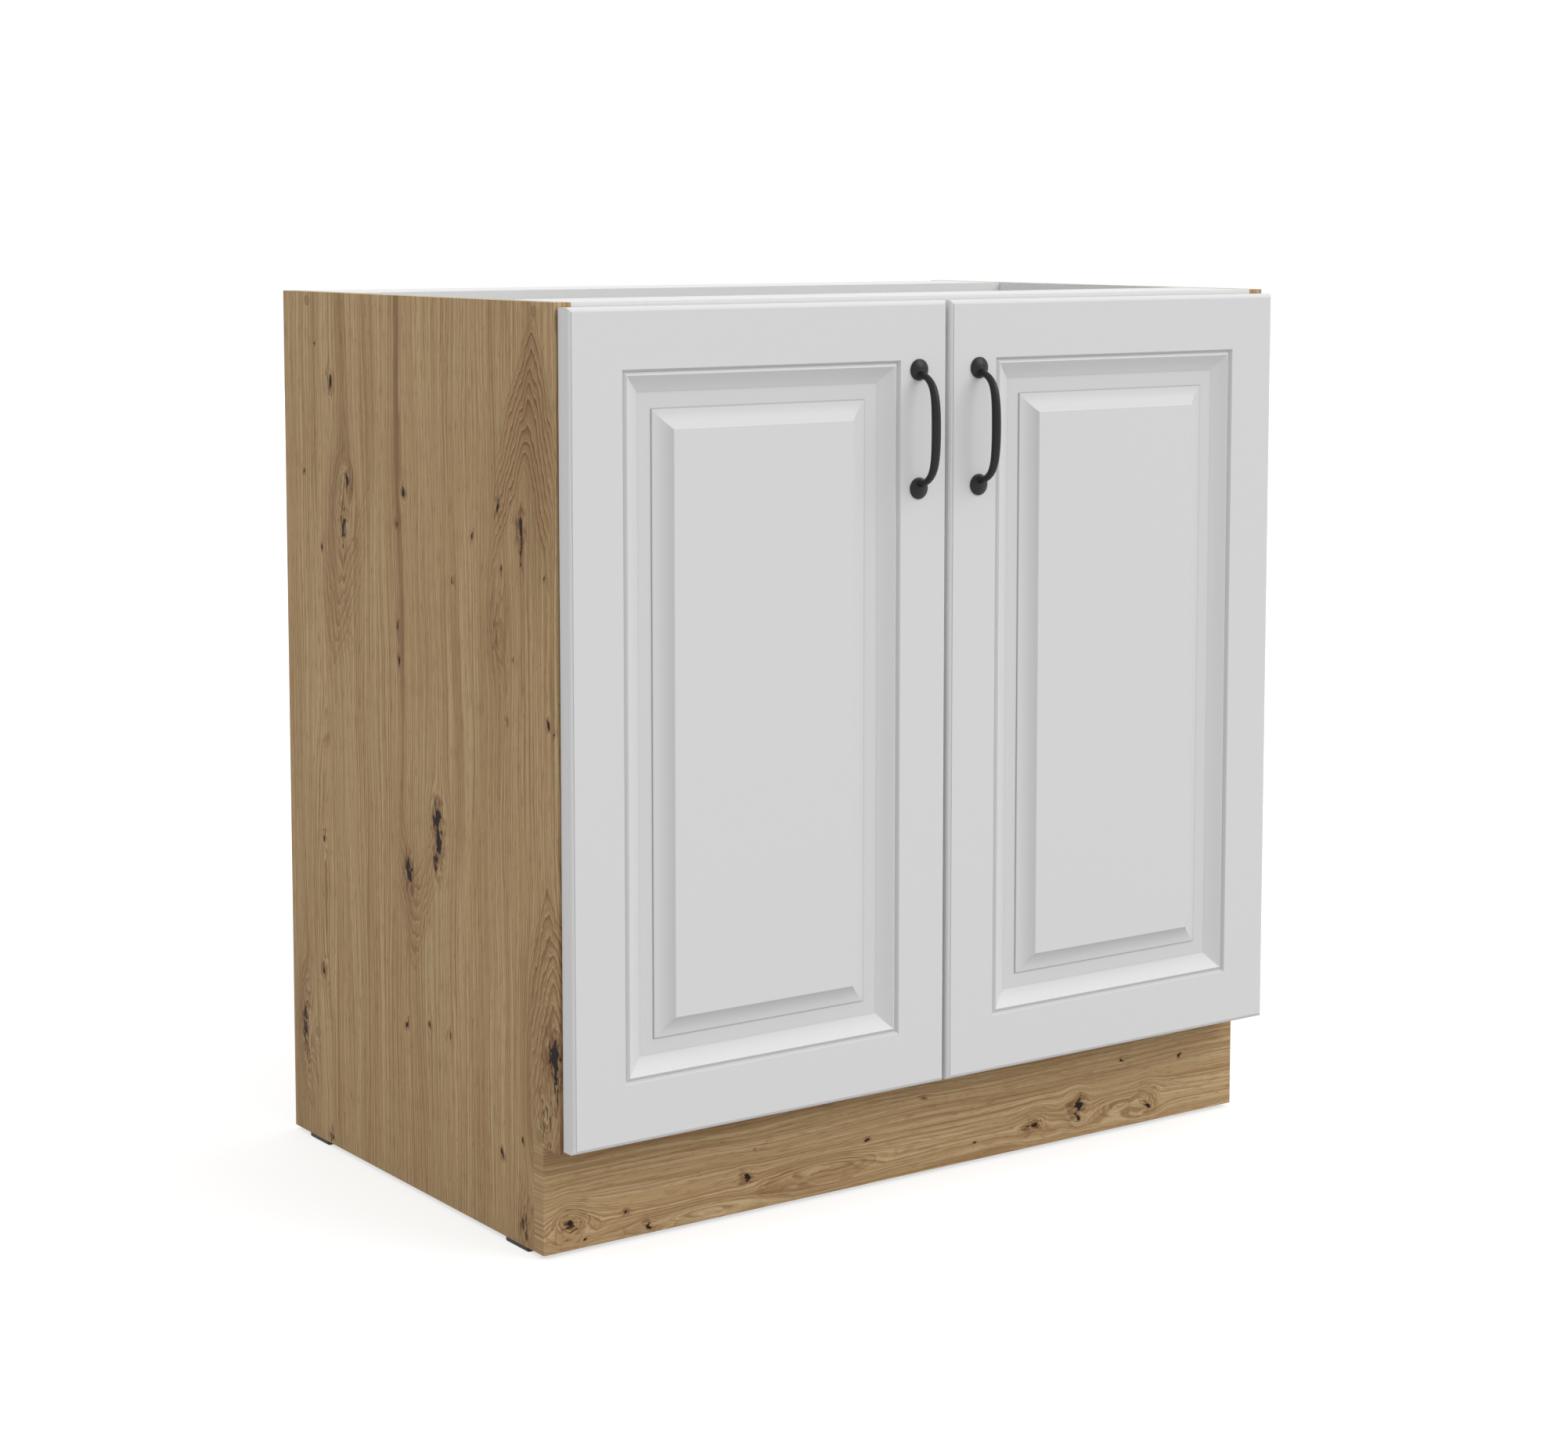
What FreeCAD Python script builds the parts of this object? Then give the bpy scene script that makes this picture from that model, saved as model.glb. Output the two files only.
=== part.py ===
import FreeCAD, Part
import math
import os
import Sketcher

# Two-door kitchen base cabinet, 800 wide. Lengths in millimetres, +Z up.
# X runs along the front with zero in the middle, Y runs to the back with zero at the carcass front
# edge, Z is zero on the floor. Every sub-part is then shifted in Y so that the middle of the whole
# depth lies on the origin.

os.makedirs("parts", exist_ok=True)
doc = FreeCAD.newDocument("kitchen_base_cabinet")
sheet = doc.addObject("Spreadsheet::Sheet", "sizes")
V = FreeCAD.Vector


class Size:
    """A length with its number and the sheet expression that gives the same number."""

    def __init__(self, number, text):
        self.number = number
        self.text = text

    def __neg__(self):
        return Size(-self.number, f"(-{self.text})")

    def __add__(self, other):
        other = as_size(other)
        return Size(self.number + other.number, f"({self.text} + {other.text})")

    def __radd__(self, other):
        return as_size(other) + self

    def __sub__(self, other):
        return self + -as_size(other)

    def __rsub__(self, other):
        return as_size(other) - self

    def __mul__(self, factor):
        factor = as_size(factor)
        return Size(self.number * factor.number, f"({self.text} * {factor.text})")

    def __truediv__(self, other):
        other = as_size(other)
        return Size(self.number / other.number, f"({self.text} / {other.text})")


def as_size(value):
    return value if isinstance(value, Size) else Size(float(value), f"({value})")


def sine(angle):
    return Size(math.sin(math.radians(angle.number)), f"sin({angle.text} * 1 deg)")


def cosine(angle):
    return Size(math.cos(math.radians(angle.number)), f"cos({angle.text} * 1 deg)")


def size(alias, number):
    """Write one driving dimension into the sheet and return it."""
    size.row += 1
    sheet.set(f"A{size.row}", alias)
    sheet.set(f"B{size.row}", str(number))
    sheet.setAlias(f"B{size.row}", alias)
    return Size(float(number), f"sizes.{alias}")


size.row = 0

# Whole cabinet
width = size("width", 800)
top_height = size("top_height", 820)
side_depth = size("side_depth", 502)
board = size("board", 16)
overrun = size("overrun", 5)
fit_gap = size("fit_gap", 0.05)
rest_gap = size("rest_gap", 0.3)

# Carcass
toe_height = size("toe_height", 100)
plinth_setback = size("plinth_setback", 28.5)
back_setback = size("back_setback", 17)
back_thickness = size("back_thickness", 3)
back_groove_depth = size("back_groove_depth", 8)
back_groove_play = size("back_groove_play", 0.2)
rail_depth = size("rail_depth", 100)
shelf_height = size("shelf_height", 452)
shelf_front_setback = size("shelf_front_setback", 30)
shelf_back_gap = size("shelf_back_gap", 12)
shelf_end_gap = size("shelf_end_gap", 1)

# Glides under the side panels
glide_length = size("glide_length", 40)
glide_height = size("glide_height", 4)
glide_front_setback = size("glide_front_setback", 55)
glide_back_setback = size("glide_back_setback", 30)
glide_corner = size("glide_corner", 3)
glide_edge_round = size("glide_edge_round", 0.8)
glide_spike_radius = size("glide_spike_radius", 1.1)
glide_spike_length = size("glide_spike_length", 14)

# Screws through the sides into the rails, with their caps
rail_screw_front = size("rail_screw_front", 34)
rail_screw_back_inset = size("rail_screw_back_inset", 29.5)
screw_recess_radius = size("screw_recess_radius", 5.05)
screw_recess_depth = size("screw_recess_depth", 4.6)
screw_head_radius = size("screw_head_radius", 4.9)
screw_shank_radius = size("screw_shank_radius", 3.5)
screw_core_radius = size("screw_core_radius", 3.2)
screw_length = size("screw_length", 49)
screw_socket_radius = size("screw_socket_radius", 2)
screw_socket_depth = size("screw_socket_depth", 2.5)
cap_thickness = size("cap_thickness", 1.0)
cap_proud = size("cap_proud", 0.3)

# Holes for the screws that hold a worktop
worktop_screw_across = size("worktop_screw_across", 300)
worktop_hole_radius = size("worktop_hole_radius", 2.25)

# Dowels and cam fittings
dowel_radius = size("dowel_radius", 4)
dowel_length = size("dowel_length", 30)
dowel_in_side = size("dowel_in_side", 11)
dowel_end_round = size("dowel_end_round", 1)
rail_dowel_inset = size("rail_dowel_inset", 70)
bottom_dowel_inset = size("bottom_dowel_inset", 60)
cam_inset = size("cam_inset", 100)
cam_radius = size("cam_radius", 7.5)
cam_depth = size("cam_depth", 12.5)
cam_from_end = size("cam_from_end", 34)
cam_slot_width = size("cam_slot_width", 1.6)
cam_slot_depth = size("cam_slot_depth", 2)
bolt_thread_radius = size("bolt_thread_radius", 2.5)
bolt_thread_length = size("bolt_thread_length", 11)
bolt_radius = size("bolt_radius", 3)
bolt_bore_radius = size("bolt_bore_radius", 3.5)

# Back panel pins
back_pin_radius = size("back_pin_radius", 0.8)
back_pin_length = size("back_pin_length", 20)
back_pin_head_radius = size("back_pin_head_radius", 1.7)
back_pin_head = size("back_pin_head", 0.6)
back_pin_inset = size("back_pin_inset", 84)

# System holes and shelf supports
system_front = size("system_front", 37)
system_pitch = size("system_pitch", 32)
shelf_row_front = size("shelf_row_front", 69)
shelf_row_back_inset = size("shelf_row_back_inset", 61)
pin_hole_radius = size("pin_hole_radius", 2.5)
pin_hole_depth = size("pin_hole_depth", 9)
pin_length = size("pin_length", 16)
pin_in_side = size("pin_in_side", 8)
pin_collar_radius = size("pin_collar_radius", 3.6)
pin_collar = size("pin_collar", 0.8)

# Plinth brackets
bracket_leg = size("bracket_leg", 24)
bracket_wall = size("bracket_wall", 3)
bracket_width = size("bracket_width", 26)
bracket_height = size("bracket_height", 40)
bracket_rib = size("bracket_rib", 3)
bracket_screw_radius = size("bracket_screw_radius", 1.75)
bracket_screw_length = size("bracket_screw_length", 14)
bracket_head_radius = size("bracket_head_radius", 3.5)
bracket_head = size("bracket_head", 2)
bracket_screw_out = size("bracket_screw_out", 14)

# Doors
door_thickness = size("door_thickness", 16)
door_back_gap = size("door_back_gap", 2)
door_reveal = size("door_reveal", 2)
door_meeting_gap = size("door_meeting_gap", 4)
door_bottom_gap = size("door_bottom_gap", 3)
door_top_gap = size("door_top_gap", 4)
edge_round = size("edge_round", 3)
edge_step_width = size("edge_step_width", 3.5)
edge_step_height = size("edge_step_height", 0.9)
edge_bulge_height = size("edge_bulge_height", 0.9)
groove_start = size("groove_start", 52.3)
groove_bottom_in = size("groove_bottom_in", 54.6)
groove_depth = size("groove_depth", 3.2)
crest_in = size("crest_in", 57.5)
crest_depth = size("crest_depth", 1.0)
bevel_end_in = size("bevel_end_in", 72.4)
recess_depth = size("recess_depth", 9.1)
bevel_sag = size("bevel_sag", 0.8)
recess_end_in = size("recess_end_in", 86.2)
field_step_height = size("field_step_height", 1.0)
field_in = size("field_in", 103.8)
cove_radius = size("cove_radius", 24)

# Handles
handle_from_edge = size("handle_from_edge", 32.2)
handle_from_top = size("handle_from_top", 114)
handle_screw_spacing = size("handle_screw_spacing", 96)
rosette_spacing = size("rosette_spacing", 105.7)
rosette_radius = size("rosette_radius", 9.65)
rosette_rim = size("rosette_rim", 1.2)
rosette_dome = size("rosette_dome", 3.4)
bow_reach = size("bow_reach", 25.4)
bow_thickness = size("bow_thickness", 8.4)
handle_hole_radius = size("handle_hole_radius", 2.25)
handle_screw_radius = size("handle_screw_radius", 2)
handle_screw_grip = size("handle_screw_grip", 7)
handle_screw_head_radius = size("handle_screw_head_radius", 4)
handle_screw_head = size("handle_screw_head", 1.6)

# Door bumpers
bumper_radius = size("bumper_radius", 4)
bumper_from_edge = size("bumper_from_edge", 12)
bumper_from_end = size("bumper_from_end", 6.5)

# Hinges: the door cup
hinge_from_end = size("hinge_from_end", 100)
cup_from_edge = size("cup_from_edge", 22.5)
cup_bore_radius = size("cup_bore_radius", 17.5)
cup_bore_depth = size("cup_bore_depth", 13)
cup_wall = size("cup_wall", 0.8)
cup_play = size("cup_play", 0.1)
flange_radius = size("flange_radius", 19.2)
flange_thickness = size("flange_thickness", 1)
flange_ear_near = size("flange_ear_near", 4)
flange_ear_far = size("flange_ear_far", 15)
flange_ear_half = size("flange_ear_half", 28)
cup_screw_offset = size("cup_screw_offset", 9.5)
cup_screw_half = size("cup_screw_half", 22.5)
cup_screw_radius = size("cup_screw_radius", 1.75)
cup_screw_length = size("cup_screw_length", 11)
cup_screw_head_radius = size("cup_screw_head_radius", 3.4)
cup_screw_head = size("cup_screw_head", 1)

# Hinges: the four pivots, in from the panel or door edge and back from the front edge
rear_pivot_in = size("rear_pivot_in", 20)
rear_pivot_back = size("rear_pivot_back", 13)
front_pivot_in = size("front_pivot_in", 15)
front_pivot_back = size("front_pivot_back", 0.5)
shallow_pivot_in = size("shallow_pivot_in", 9.2)
shallow_pivot_depth = size("shallow_pivot_depth", 2.9)
deep_pivot_in = size("deep_pivot_in", 10.4)
deep_pivot_depth = size("deep_pivot_depth", 8.8)
arm_pin_radius = size("arm_pin_radius", 1.5)
cup_pin_radius = size("cup_pin_radius", 1.25)

# Hinges: the links
link_gap = size("link_gap", 0.3)
inner_link_half = size("inner_link_half", 2.3)
lug_thickness = size("lug_thickness", 1.6)
plate_thickness = size("plate_thickness", 1.2)
outer_link_half_width = size("outer_link_half_width", 1.8)
outer_link_eye = size("outer_link_eye", 3.1)
outer_link_cup_eye = size("outer_link_cup_eye", 1.95)
outer_link_bend_in = size("outer_link_bend_in", 5.4)
outer_link_bend_deep = size("outer_link_bend_deep", 2.8)
inner_link_half_width = size("inner_link_half_width", 1.6)
inner_link_eye = size("inner_link_eye", 2.4)
inner_link_bend_in = size("inner_link_bend_in", 11.6)
inner_link_bend_deep = size("inner_link_bend_deep", 1.0)
slot_middle_in = size("slot_middle_in", 0.87)
slot_middle_back = size("slot_middle_back", 1.1)
slot_half_travel = size("slot_half_travel", 2.0)
slot_lean = size("slot_lean", 48)
slot_play = size("slot_play", 0.3)
slot_wall = size("slot_wall", 1.3)

# Hinges: the arm and its mounting plate
arm_wall = size("arm_wall", 1.4)
arm_front_back = size("arm_front_back", 4.5)
arm_top_in = size("arm_top_in", 25)
arm_knee_back = size("arm_knee_back", 22)
arm_tail_in = size("arm_tail_in", 15)
arm_tail_back = size("arm_tail_back", 60)
arm_end_back = size("arm_end_back", 64)
arm_heel_back = size("arm_heel_back", 24)
arm_chin_in = size("arm_chin_in", 13.5)
arm_chin_back = size("arm_chin_back", 10.5)
arm_lip_in = size("arm_lip_in", 17.5)
arm_lip_back = size("arm_lip_back", 7.5)
lug_radius = size("lug_radius", 3)
tail_pocket_half = size("tail_pocket_half", 4.2)
tail_pocket_top = size("tail_pocket_top", 11.5)
tail_pocket_front = size("tail_pocket_front", 41)
tail_pocket_back = size("tail_pocket_back", 59)
plate_base = size("plate_base", 3)
plate_half = size("plate_half", 8)
plate_front = size("plate_front", 22)
plate_back = size("plate_back", 66)
plate_wing_half = size("plate_wing_half", 24)
plate_wing_width = size("plate_wing_width", 11)
plate_wing_thickness = size("plate_wing_thickness", 2.2)
ridge_half = size("ridge_half", 5.7)
ridge_top = size("ridge_top", 8)
plate_screw_half = size("plate_screw_half", 16)
plate_screw_radius = size("plate_screw_radius", 3)
plate_screw_length = size("plate_screw_length", 12)
plate_screw_head_radius = size("plate_screw_head_radius", 4)
plate_screw_head = size("plate_screw_head", 1.6)
fixing_screw_back = size("fixing_screw_back", 50)
fixing_seat_in = size("fixing_seat_in", 13)
adjusting_screw_back = size("adjusting_screw_back", 33)
adjusting_seat_in = size("adjusting_seat_in", 17)
arm_screw_radius = size("arm_screw_radius", 2)
arm_screw_head_radius = size("arm_screw_head_radius", 3.4)
arm_screw_head = size("arm_screw_head", 2.2)
arm_screw_end = size("arm_screw_end", 4)

# Places worked out from the sizes
zero = Size(0, "0")
side_outer = -width / 2
side_inner = side_outer + board
side_bottom = glide_height
glide_middles = [glide_front_setback + glide_length / 2,
                 side_depth - glide_back_setback - glide_length / 2]
carcass_back = side_depth - back_setback - back_thickness
rail_screw_back = carcass_back - rail_screw_back_inset
front_dowel = rail_dowel_inset
back_dowel = carcass_back - rail_dowel_inset
bottom_front_dowel = bottom_dowel_inset
bottom_back_dowel = carcass_back - bottom_dowel_inset
cam_front = cam_inset
cam_back = carcass_back - cam_inset
shelf_row_back = carcass_back - shelf_row_back_inset
toe_depth = plinth_setback + board
rail_bottom = top_height - board
rail_middle = top_height - board / 2
bottom_middle = toe_height + board / 2
door_back = -door_back_gap
door_front = door_back - door_thickness
door_bottom = toe_height + door_bottom_gap
door_top = top_height - door_top_gap
door_outer = side_outer + door_reveal
handle_height = door_top - handle_from_top
door_inner = -door_meeting_gap / 2
door_middle = (door_bottom + door_top) / 2
front_reach = door_front - bow_reach - bow_thickness / 2
frame_shift = -(front_reach + side_depth) / 2
hinge_heights = {"lower": door_bottom + hinge_from_end, "upper": door_top - hinge_from_end}

subparts = {}


def number(value):
    return value.number if isinstance(value, Size) else float(value)


def bind(thing, **values):
    """Tie properties of an object to the sheet; a double underscore stands for a point."""
    for name, value in values.items():
        thing.setExpression(name.replace("__", "."), as_size(value).text)


def node(thing, label):
    """Register a finished sub-part under its own name and move it into the part's frame."""
    thing.Label = label
    bind(thing, Placement__Base__y=frame_shift)
    subparts[label] = thing
    return thing


def box(name, low, high):
    solid = doc.addObject("Part::Box", name)
    bind(solid, Length=high[0] - low[0], Width=high[1] - low[1], Height=high[2] - low[2])
    bind(solid, Placement__Base__x=low[0], Placement__Base__y=low[1], Placement__Base__z=low[2])
    return solid


TURNS = {
    "+x": FreeCAD.Rotation(V(0, 1, 0), 90),
    "-x": FreeCAD.Rotation(V(0, 1, 0), -90),
    "+y": FreeCAD.Rotation(V(1, 0, 0), -90),
    "-y": FreeCAD.Rotation(V(1, 0, 0), 90),
    "+z": FreeCAD.Rotation(),
    "-z": FreeCAD.Rotation(V(1, 0, 0), 180),
}


def rod(name, start, way, radius, length):
    """A round bar from a start point along one of the axes."""
    solid = doc.addObject("Part::Cylinder", name)
    solid.Placement = FreeCAD.Placement(V(0, 0, 0), TURNS[way])
    bind(solid, Radius=radius, Height=length)
    bind(solid, Placement__Base__x=start[0], Placement__Base__y=start[1], Placement__Base__z=start[2])
    return solid


def fuse(name, pieces):
    joined = doc.addObject("Part::MultiFuse", name)
    joined.Shapes = pieces
    joined.Refine = True
    return joined


def group(name, pieces):
    together = doc.addObject("Part::Compound", name)
    together.Links = pieces
    return together


def cut(name, base, tools):
    trimmed = doc.addObject("Part::Cut", name)
    trimmed.Base = base
    trimmed.Tool = tools[0] if len(tools) == 1 else fuse(f"{name}_tools", tools)
    return trimmed


def mirrored(thing, name):
    """The right-hand twin of a left-hand piece."""
    twin = doc.addObject("Part::Mirroring", name)
    twin.Source = thing
    twin.Base = V(0, 0, 0)
    twin.Normal = V(1, 0, 0)
    return twin


def mirror_node(label, twin_label):
    twin = mirrored(subparts[label], twin_label)
    twin.Label = twin_label
    subparts[twin_label] = twin


def on_plane(body, name, role, offset):
    """A sketch on one of its own body's origin planes, moved along the plane's normal."""
    drawing = body.newObject("Sketcher::SketchObject", name)
    plane = next(item for item in body.Origin.OriginFeatures if item.Role == role)
    drawing.AttachmentSupport = [(plane, "")]
    drawing.MapMode = "FlatFace"
    bind(drawing, AttachmentOffset__Base__z=offset)
    return drawing


def pin_point(drawing, element, end, name, place):
    """Hold a sketch point at its two driven distances from the sketch origin."""
    for kind, tag, value in (("DistanceX", "across", place[0]), ("DistanceY", "up", place[1])):
        label = f"{name}_{tag}"
        index = drawing.addConstraint(Sketcher.Constraint(kind, -1, 1, element, end, number(value)))
        drawing.renameConstraint(index, label)
        bind(drawing, **{f"Constraints__{label}": value})


def outline(drawing, corners):
    """A closed run of straight lines through driven corner points."""
    count = len(corners)
    spots = [V(number(across), number(up), 0) for across, up in corners]
    for index in range(count):
        drawing.addGeometry(Part.LineSegment(spots[index], spots[(index + 1) % count]), False)
    for index in range(count):
        drawing.addConstraint(Sketcher.Constraint("Coincident", index, 2, (index + 1) % count, 1))
    for index, corner in enumerate(corners):
        pin_point(drawing, index, 1, f"corner{index}", corner)


def circles(drawing, centres, radius):
    for index, centre in enumerate(centres):
        middle = V(number(centre[0]), number(centre[1]), 0)
        drawing.addGeometry(Part.Circle(middle, V(0, 0, 1), number(radius)), False)
        pin_point(drawing, index, 3, f"hole{index}", centre)
        mark = drawing.addConstraint(Sketcher.Constraint("Radius", index, number(radius)))
        drawing.renameConstraint(mark, f"radius{index}")
        bind(drawing, **{f"Constraints__radius{index}": radius})


def strap(drawing, start, end, half_width):
    """A straight bar with round ends about two driven points."""
    radius = number(half_width)
    first = V(number(start[0]), number(start[1]), 0)
    last = V(number(end[0]), number(end[1]), 0)
    way = (last - first).normalize()
    side = V(-way.y, way.x, 0) * radius
    turn = math.atan2(way.y, way.x)
    quarter = math.pi / 2
    near, far = (Part.Circle(middle, V(0, 0, 1), radius) for middle in (first, last))
    drawing.addGeometry(Part.ArcOfCircle(near, turn + quarter, turn + quarter * 3), False)
    drawing.addGeometry(Part.ArcOfCircle(far, turn - quarter, turn + quarter), False)
    drawing.addGeometry(Part.LineSegment(first + side, last + side), False)
    drawing.addGeometry(Part.LineSegment(last - side, first - side), False)
    for joint in ((0, 1, 2, 1), (2, 2, 1, 2), (1, 1, 3, 1), (3, 2, 0, 2)):
        drawing.addConstraint(Sketcher.Constraint("Tangent", *joint))
    drawing.addConstraint(Sketcher.Constraint("Equal", 0, 1))
    pin_point(drawing, 0, 3, "start", start)
    pin_point(drawing, 1, 3, "end", end)
    mark = drawing.addConstraint(Sketcher.Constraint("Radius", 0, radius))
    drawing.renameConstraint(mark, "half_width")
    bind(drawing, Constraints__half_width=half_width)


def pad(body, drawing, length, backwards=False):
    feature = body.newObject("PartDesign::Pad", f"{drawing.Name}_pad")
    feature.Profile = drawing
    feature.Reversed = backwards
    bind(feature, Length=length)
    drawing.Visibility = False
    return feature


def pocket(body, drawing, length, backwards=False):
    feature = body.newObject("PartDesign::Pocket", f"{drawing.Name}_pocket")
    feature.Profile = drawing
    feature.Reversed = backwards
    bind(feature, Length=length)
    drawing.Visibility = False
    return feature


def drill(body, name, role, offset, centres, radius, depth, backwards=False):
    """Round holes of one size, bored against the plane's normal unless backwards is set."""
    drawing = on_plane(body, name, role, offset)
    circles(drawing, centres, radius)
    return pocket(body, drawing, depth, backwards)


def plate_body(name, role, offset, corners, thickness):
    """A body that starts as one flat board."""
    body = doc.addObject("PartDesign::Body", name)
    drawing = on_plane(body, f"{name}_outline", role, offset)
    outline(drawing, corners)
    pad(body, drawing, thickness)
    return body


# Side panels: faced chipboard to the floor, notched at the front bottom for the plinth. The inside
# carries the hinge plate holes, two rows of shelf pin holes and the groove of the back panel.
def side_panel():
    profile = [
        (zero, toe_height),
        (toe_depth, toe_height),
        (toe_depth, side_bottom),
        (side_depth, side_bottom),
        (side_depth, top_height),
        (zero, top_height),
    ]
    body = plate_body("side_left", "YZ_Plane", side_outer, profile, board)
    rail_holes = [(rail_screw_front, rail_middle), (rail_screw_back, rail_middle)]
    drill(body, "side_recess", "YZ_Plane", side_outer, rail_holes, screw_recess_radius,
          screw_recess_depth, True)
    drill(body, "side_through", "YZ_Plane", side_inner, rail_holes, screw_shank_radius + fit_gap, board)
    dowels = [(front_dowel, rail_middle), (back_dowel, rail_middle),
              (bottom_front_dowel, bottom_middle), (bottom_back_dowel, bottom_middle)]
    drill(body, "side_dowels", "YZ_Plane", side_inner, dowels, dowel_radius + fit_gap,
          dowel_in_side + rest_gap)
    bolts = [(cam_front, bottom_middle), (cam_back, bottom_middle)]
    drill(body, "side_bolts", "YZ_Plane", side_inner, bolts, bolt_thread_radius + fit_gap,
          bolt_thread_length + rest_gap)
    shelf_holes = []
    for step in (-2, -1, 0, 1, 2):
        height = shelf_height - pin_hole_radius + system_pitch * step
        shelf_holes += [(shelf_row_front, height), (shelf_row_back, height)]
    drill(body, "side_shelf_rows", "YZ_Plane", side_inner, shelf_holes, pin_hole_radius + fit_gap,
          pin_hole_depth)
    plate_holes = []
    for middle in hinge_heights.values():
        plate_holes += [(system_front, middle - plate_screw_half), (system_front, middle + plate_screw_half)]
    drill(body, "side_plate_holes", "YZ_Plane", side_inner, plate_holes, plate_screw_radius + fit_gap,
          plate_screw_length + rest_gap)
    bracket_hole = [(toe_depth + bracket_screw_out, bracket_height + bracket_width / 2)]
    drill(body, "side_bracket_hole", "YZ_Plane", side_inner, bracket_hole,
          bracket_screw_radius + fit_gap, bracket_screw_length - bracket_wall + rest_gap)
    groove = on_plane(body, "side_groove", "YZ_Plane", side_inner)
    groove_front = carcass_back - back_groove_play / 2
    groove_back = carcass_back + back_thickness + back_groove_play / 2
    outline(groove, [(groove_front, toe_height - back_groove_play),
                     (groove_back, toe_height - back_groove_play),
                     (groove_back, top_height + overrun),
                     (groove_front, top_height + overrun)])
    pocket(body, groove, back_groove_depth)
    spikes = [(side_outer + board / 2, glide_middle) for glide_middle in glide_middles]
    drill(body, "side_spikes", "XY_Plane", side_bottom, spikes, glide_spike_radius + fit_gap,
          glide_spike_length + rest_gap, True)
    node(body, "side_panel_left")
    mirror_node("side_panel_left", "side_panel_right")


side_panel()


# Bottom, rails, shelf and back: white-faced boards between the sides, doweled at their ends.
def end_bores(name, places, height, radius, depth):
    """Bores along X in both ends of a board, one pair for each place along Y."""
    bores = []
    for index, place in enumerate(places):
        left = rod(f"{name}_left{index}", (side_inner - overrun, place, height), "+x", radius,
                   depth + overrun)
        right = rod(f"{name}_right{index}", (-side_inner + overrun, place, height), "-x", radius,
                    depth + overrun)
        bores += [left, right]
    return bores


def nail_bores(name, places, height):
    return [rod(f"{name}{index}", (place, carcass_back + overrun, height), "-y", back_pin_radius + fit_gap,
                back_pin_length - back_thickness + overrun + rest_gap)
            for index, place in enumerate(places)]


NAIL_SHARES = (0, 0.25, 0.5, 0.75, 1)
nail_places = [side_inner + back_pin_inset + (-side_inner * 2 - back_pin_inset * 2) * share
               for share in NAIL_SHARES]
dowel_depth = dowel_length - dowel_in_side + rest_gap
screw_depth = screw_length + screw_recess_depth - board + rest_gap


def bottom_panel():
    blank = box("bottom_blank", (side_inner, zero, toe_height),
                (-side_inner, carcass_back, toe_height + board))
    tools = end_bores("bottom_dowel", [bottom_front_dowel, bottom_back_dowel], bottom_middle,
                      dowel_radius + fit_gap, dowel_depth)
    tools += end_bores("bottom_bolt", [cam_front, cam_back], bottom_middle, bolt_bore_radius, cam_from_end)
    for index, place in enumerate([cam_front, cam_back]):
        for side, middle in (("left", side_inner + cam_from_end), ("right", -side_inner - cam_from_end)):
            tools.append(rod(f"bottom_cam_{side}{index}", (middle, place, toe_height - overrun), "+z",
                             cam_radius + fit_gap, cam_depth + overrun))
    tools += nail_bores("bottom_nail", nail_places, bottom_middle)
    node(cut("bottom", blank, tools), "bottom_panel")


def rail(name, label, front, screw, dowel, nails):
    blank = box(f"{name}_blank", (side_inner, front, rail_bottom),
                (-side_inner, front + rail_depth, top_height))
    tools = end_bores(f"{name}_dowel", [dowel], rail_middle, dowel_radius + fit_gap, dowel_depth)
    tools += end_bores(f"{name}_screw", [screw], rail_middle, screw_core_radius + fit_gap, screw_depth)
    if nails:
        tools += nail_bores(f"{name}_nail", nail_places, rail_middle)
    for side, across in (("left", -worktop_screw_across), ("right", worktop_screw_across)):
        tools.append(rod(f"{name}_worktop_{side}", (across, front + rail_depth / 2, rail_bottom - overrun),
                         "+z", worktop_hole_radius, board + overrun * 2))
    node(cut(name, blank, tools), label)


def back_panel():
    low = (side_inner - back_groove_depth + rest_gap, carcass_back, toe_height)
    high = (-side_inner + back_groove_depth - rest_gap, carcass_back + back_thickness, top_height)
    sheet_board = box("back_sheet", low, high)
    tools = []
    for index, place in enumerate(nail_places):
        for level, height in (("low", bottom_middle), ("high", rail_middle)):
            tools.append(rod(f"back_hole_{level}{index}", (place, carcass_back - overrun, height), "+y",
                             back_pin_radius + fit_gap, back_thickness + overrun * 2))
    node(cut("back", sheet_board, tools), "back_panel")


def shelf():
    body = plate_body("shelf_board", "XY_Plane", shelf_height, [
        (side_inner + shelf_end_gap, shelf_front_setback),
        (-side_inner - shelf_end_gap, shelf_front_setback),
        (-side_inner - shelf_end_gap, carcass_back - shelf_back_gap),
        (side_inner + shelf_end_gap, carcass_back - shelf_back_gap),
    ], board)
    node(body, "shelf")


bottom_panel()
rail("front_rail_board", "front_rail", zero, rail_screw_front, front_dowel, False)
rail("rear_rail_board", "rear_rail", carcass_back - rail_depth, rail_screw_back, back_dowel, True)
back_panel()
shelf()


# Fastenings of the carcass. Each kind is one group of separate pieces.
def both_sides(name, label, pieces):
    """A group that holds the left-hand pieces and their right-hand twins."""
    twins = [mirrored(piece, f"{piece.Name}_twin") for piece in pieces]
    node(group(name, pieces + twins), label)


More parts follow.
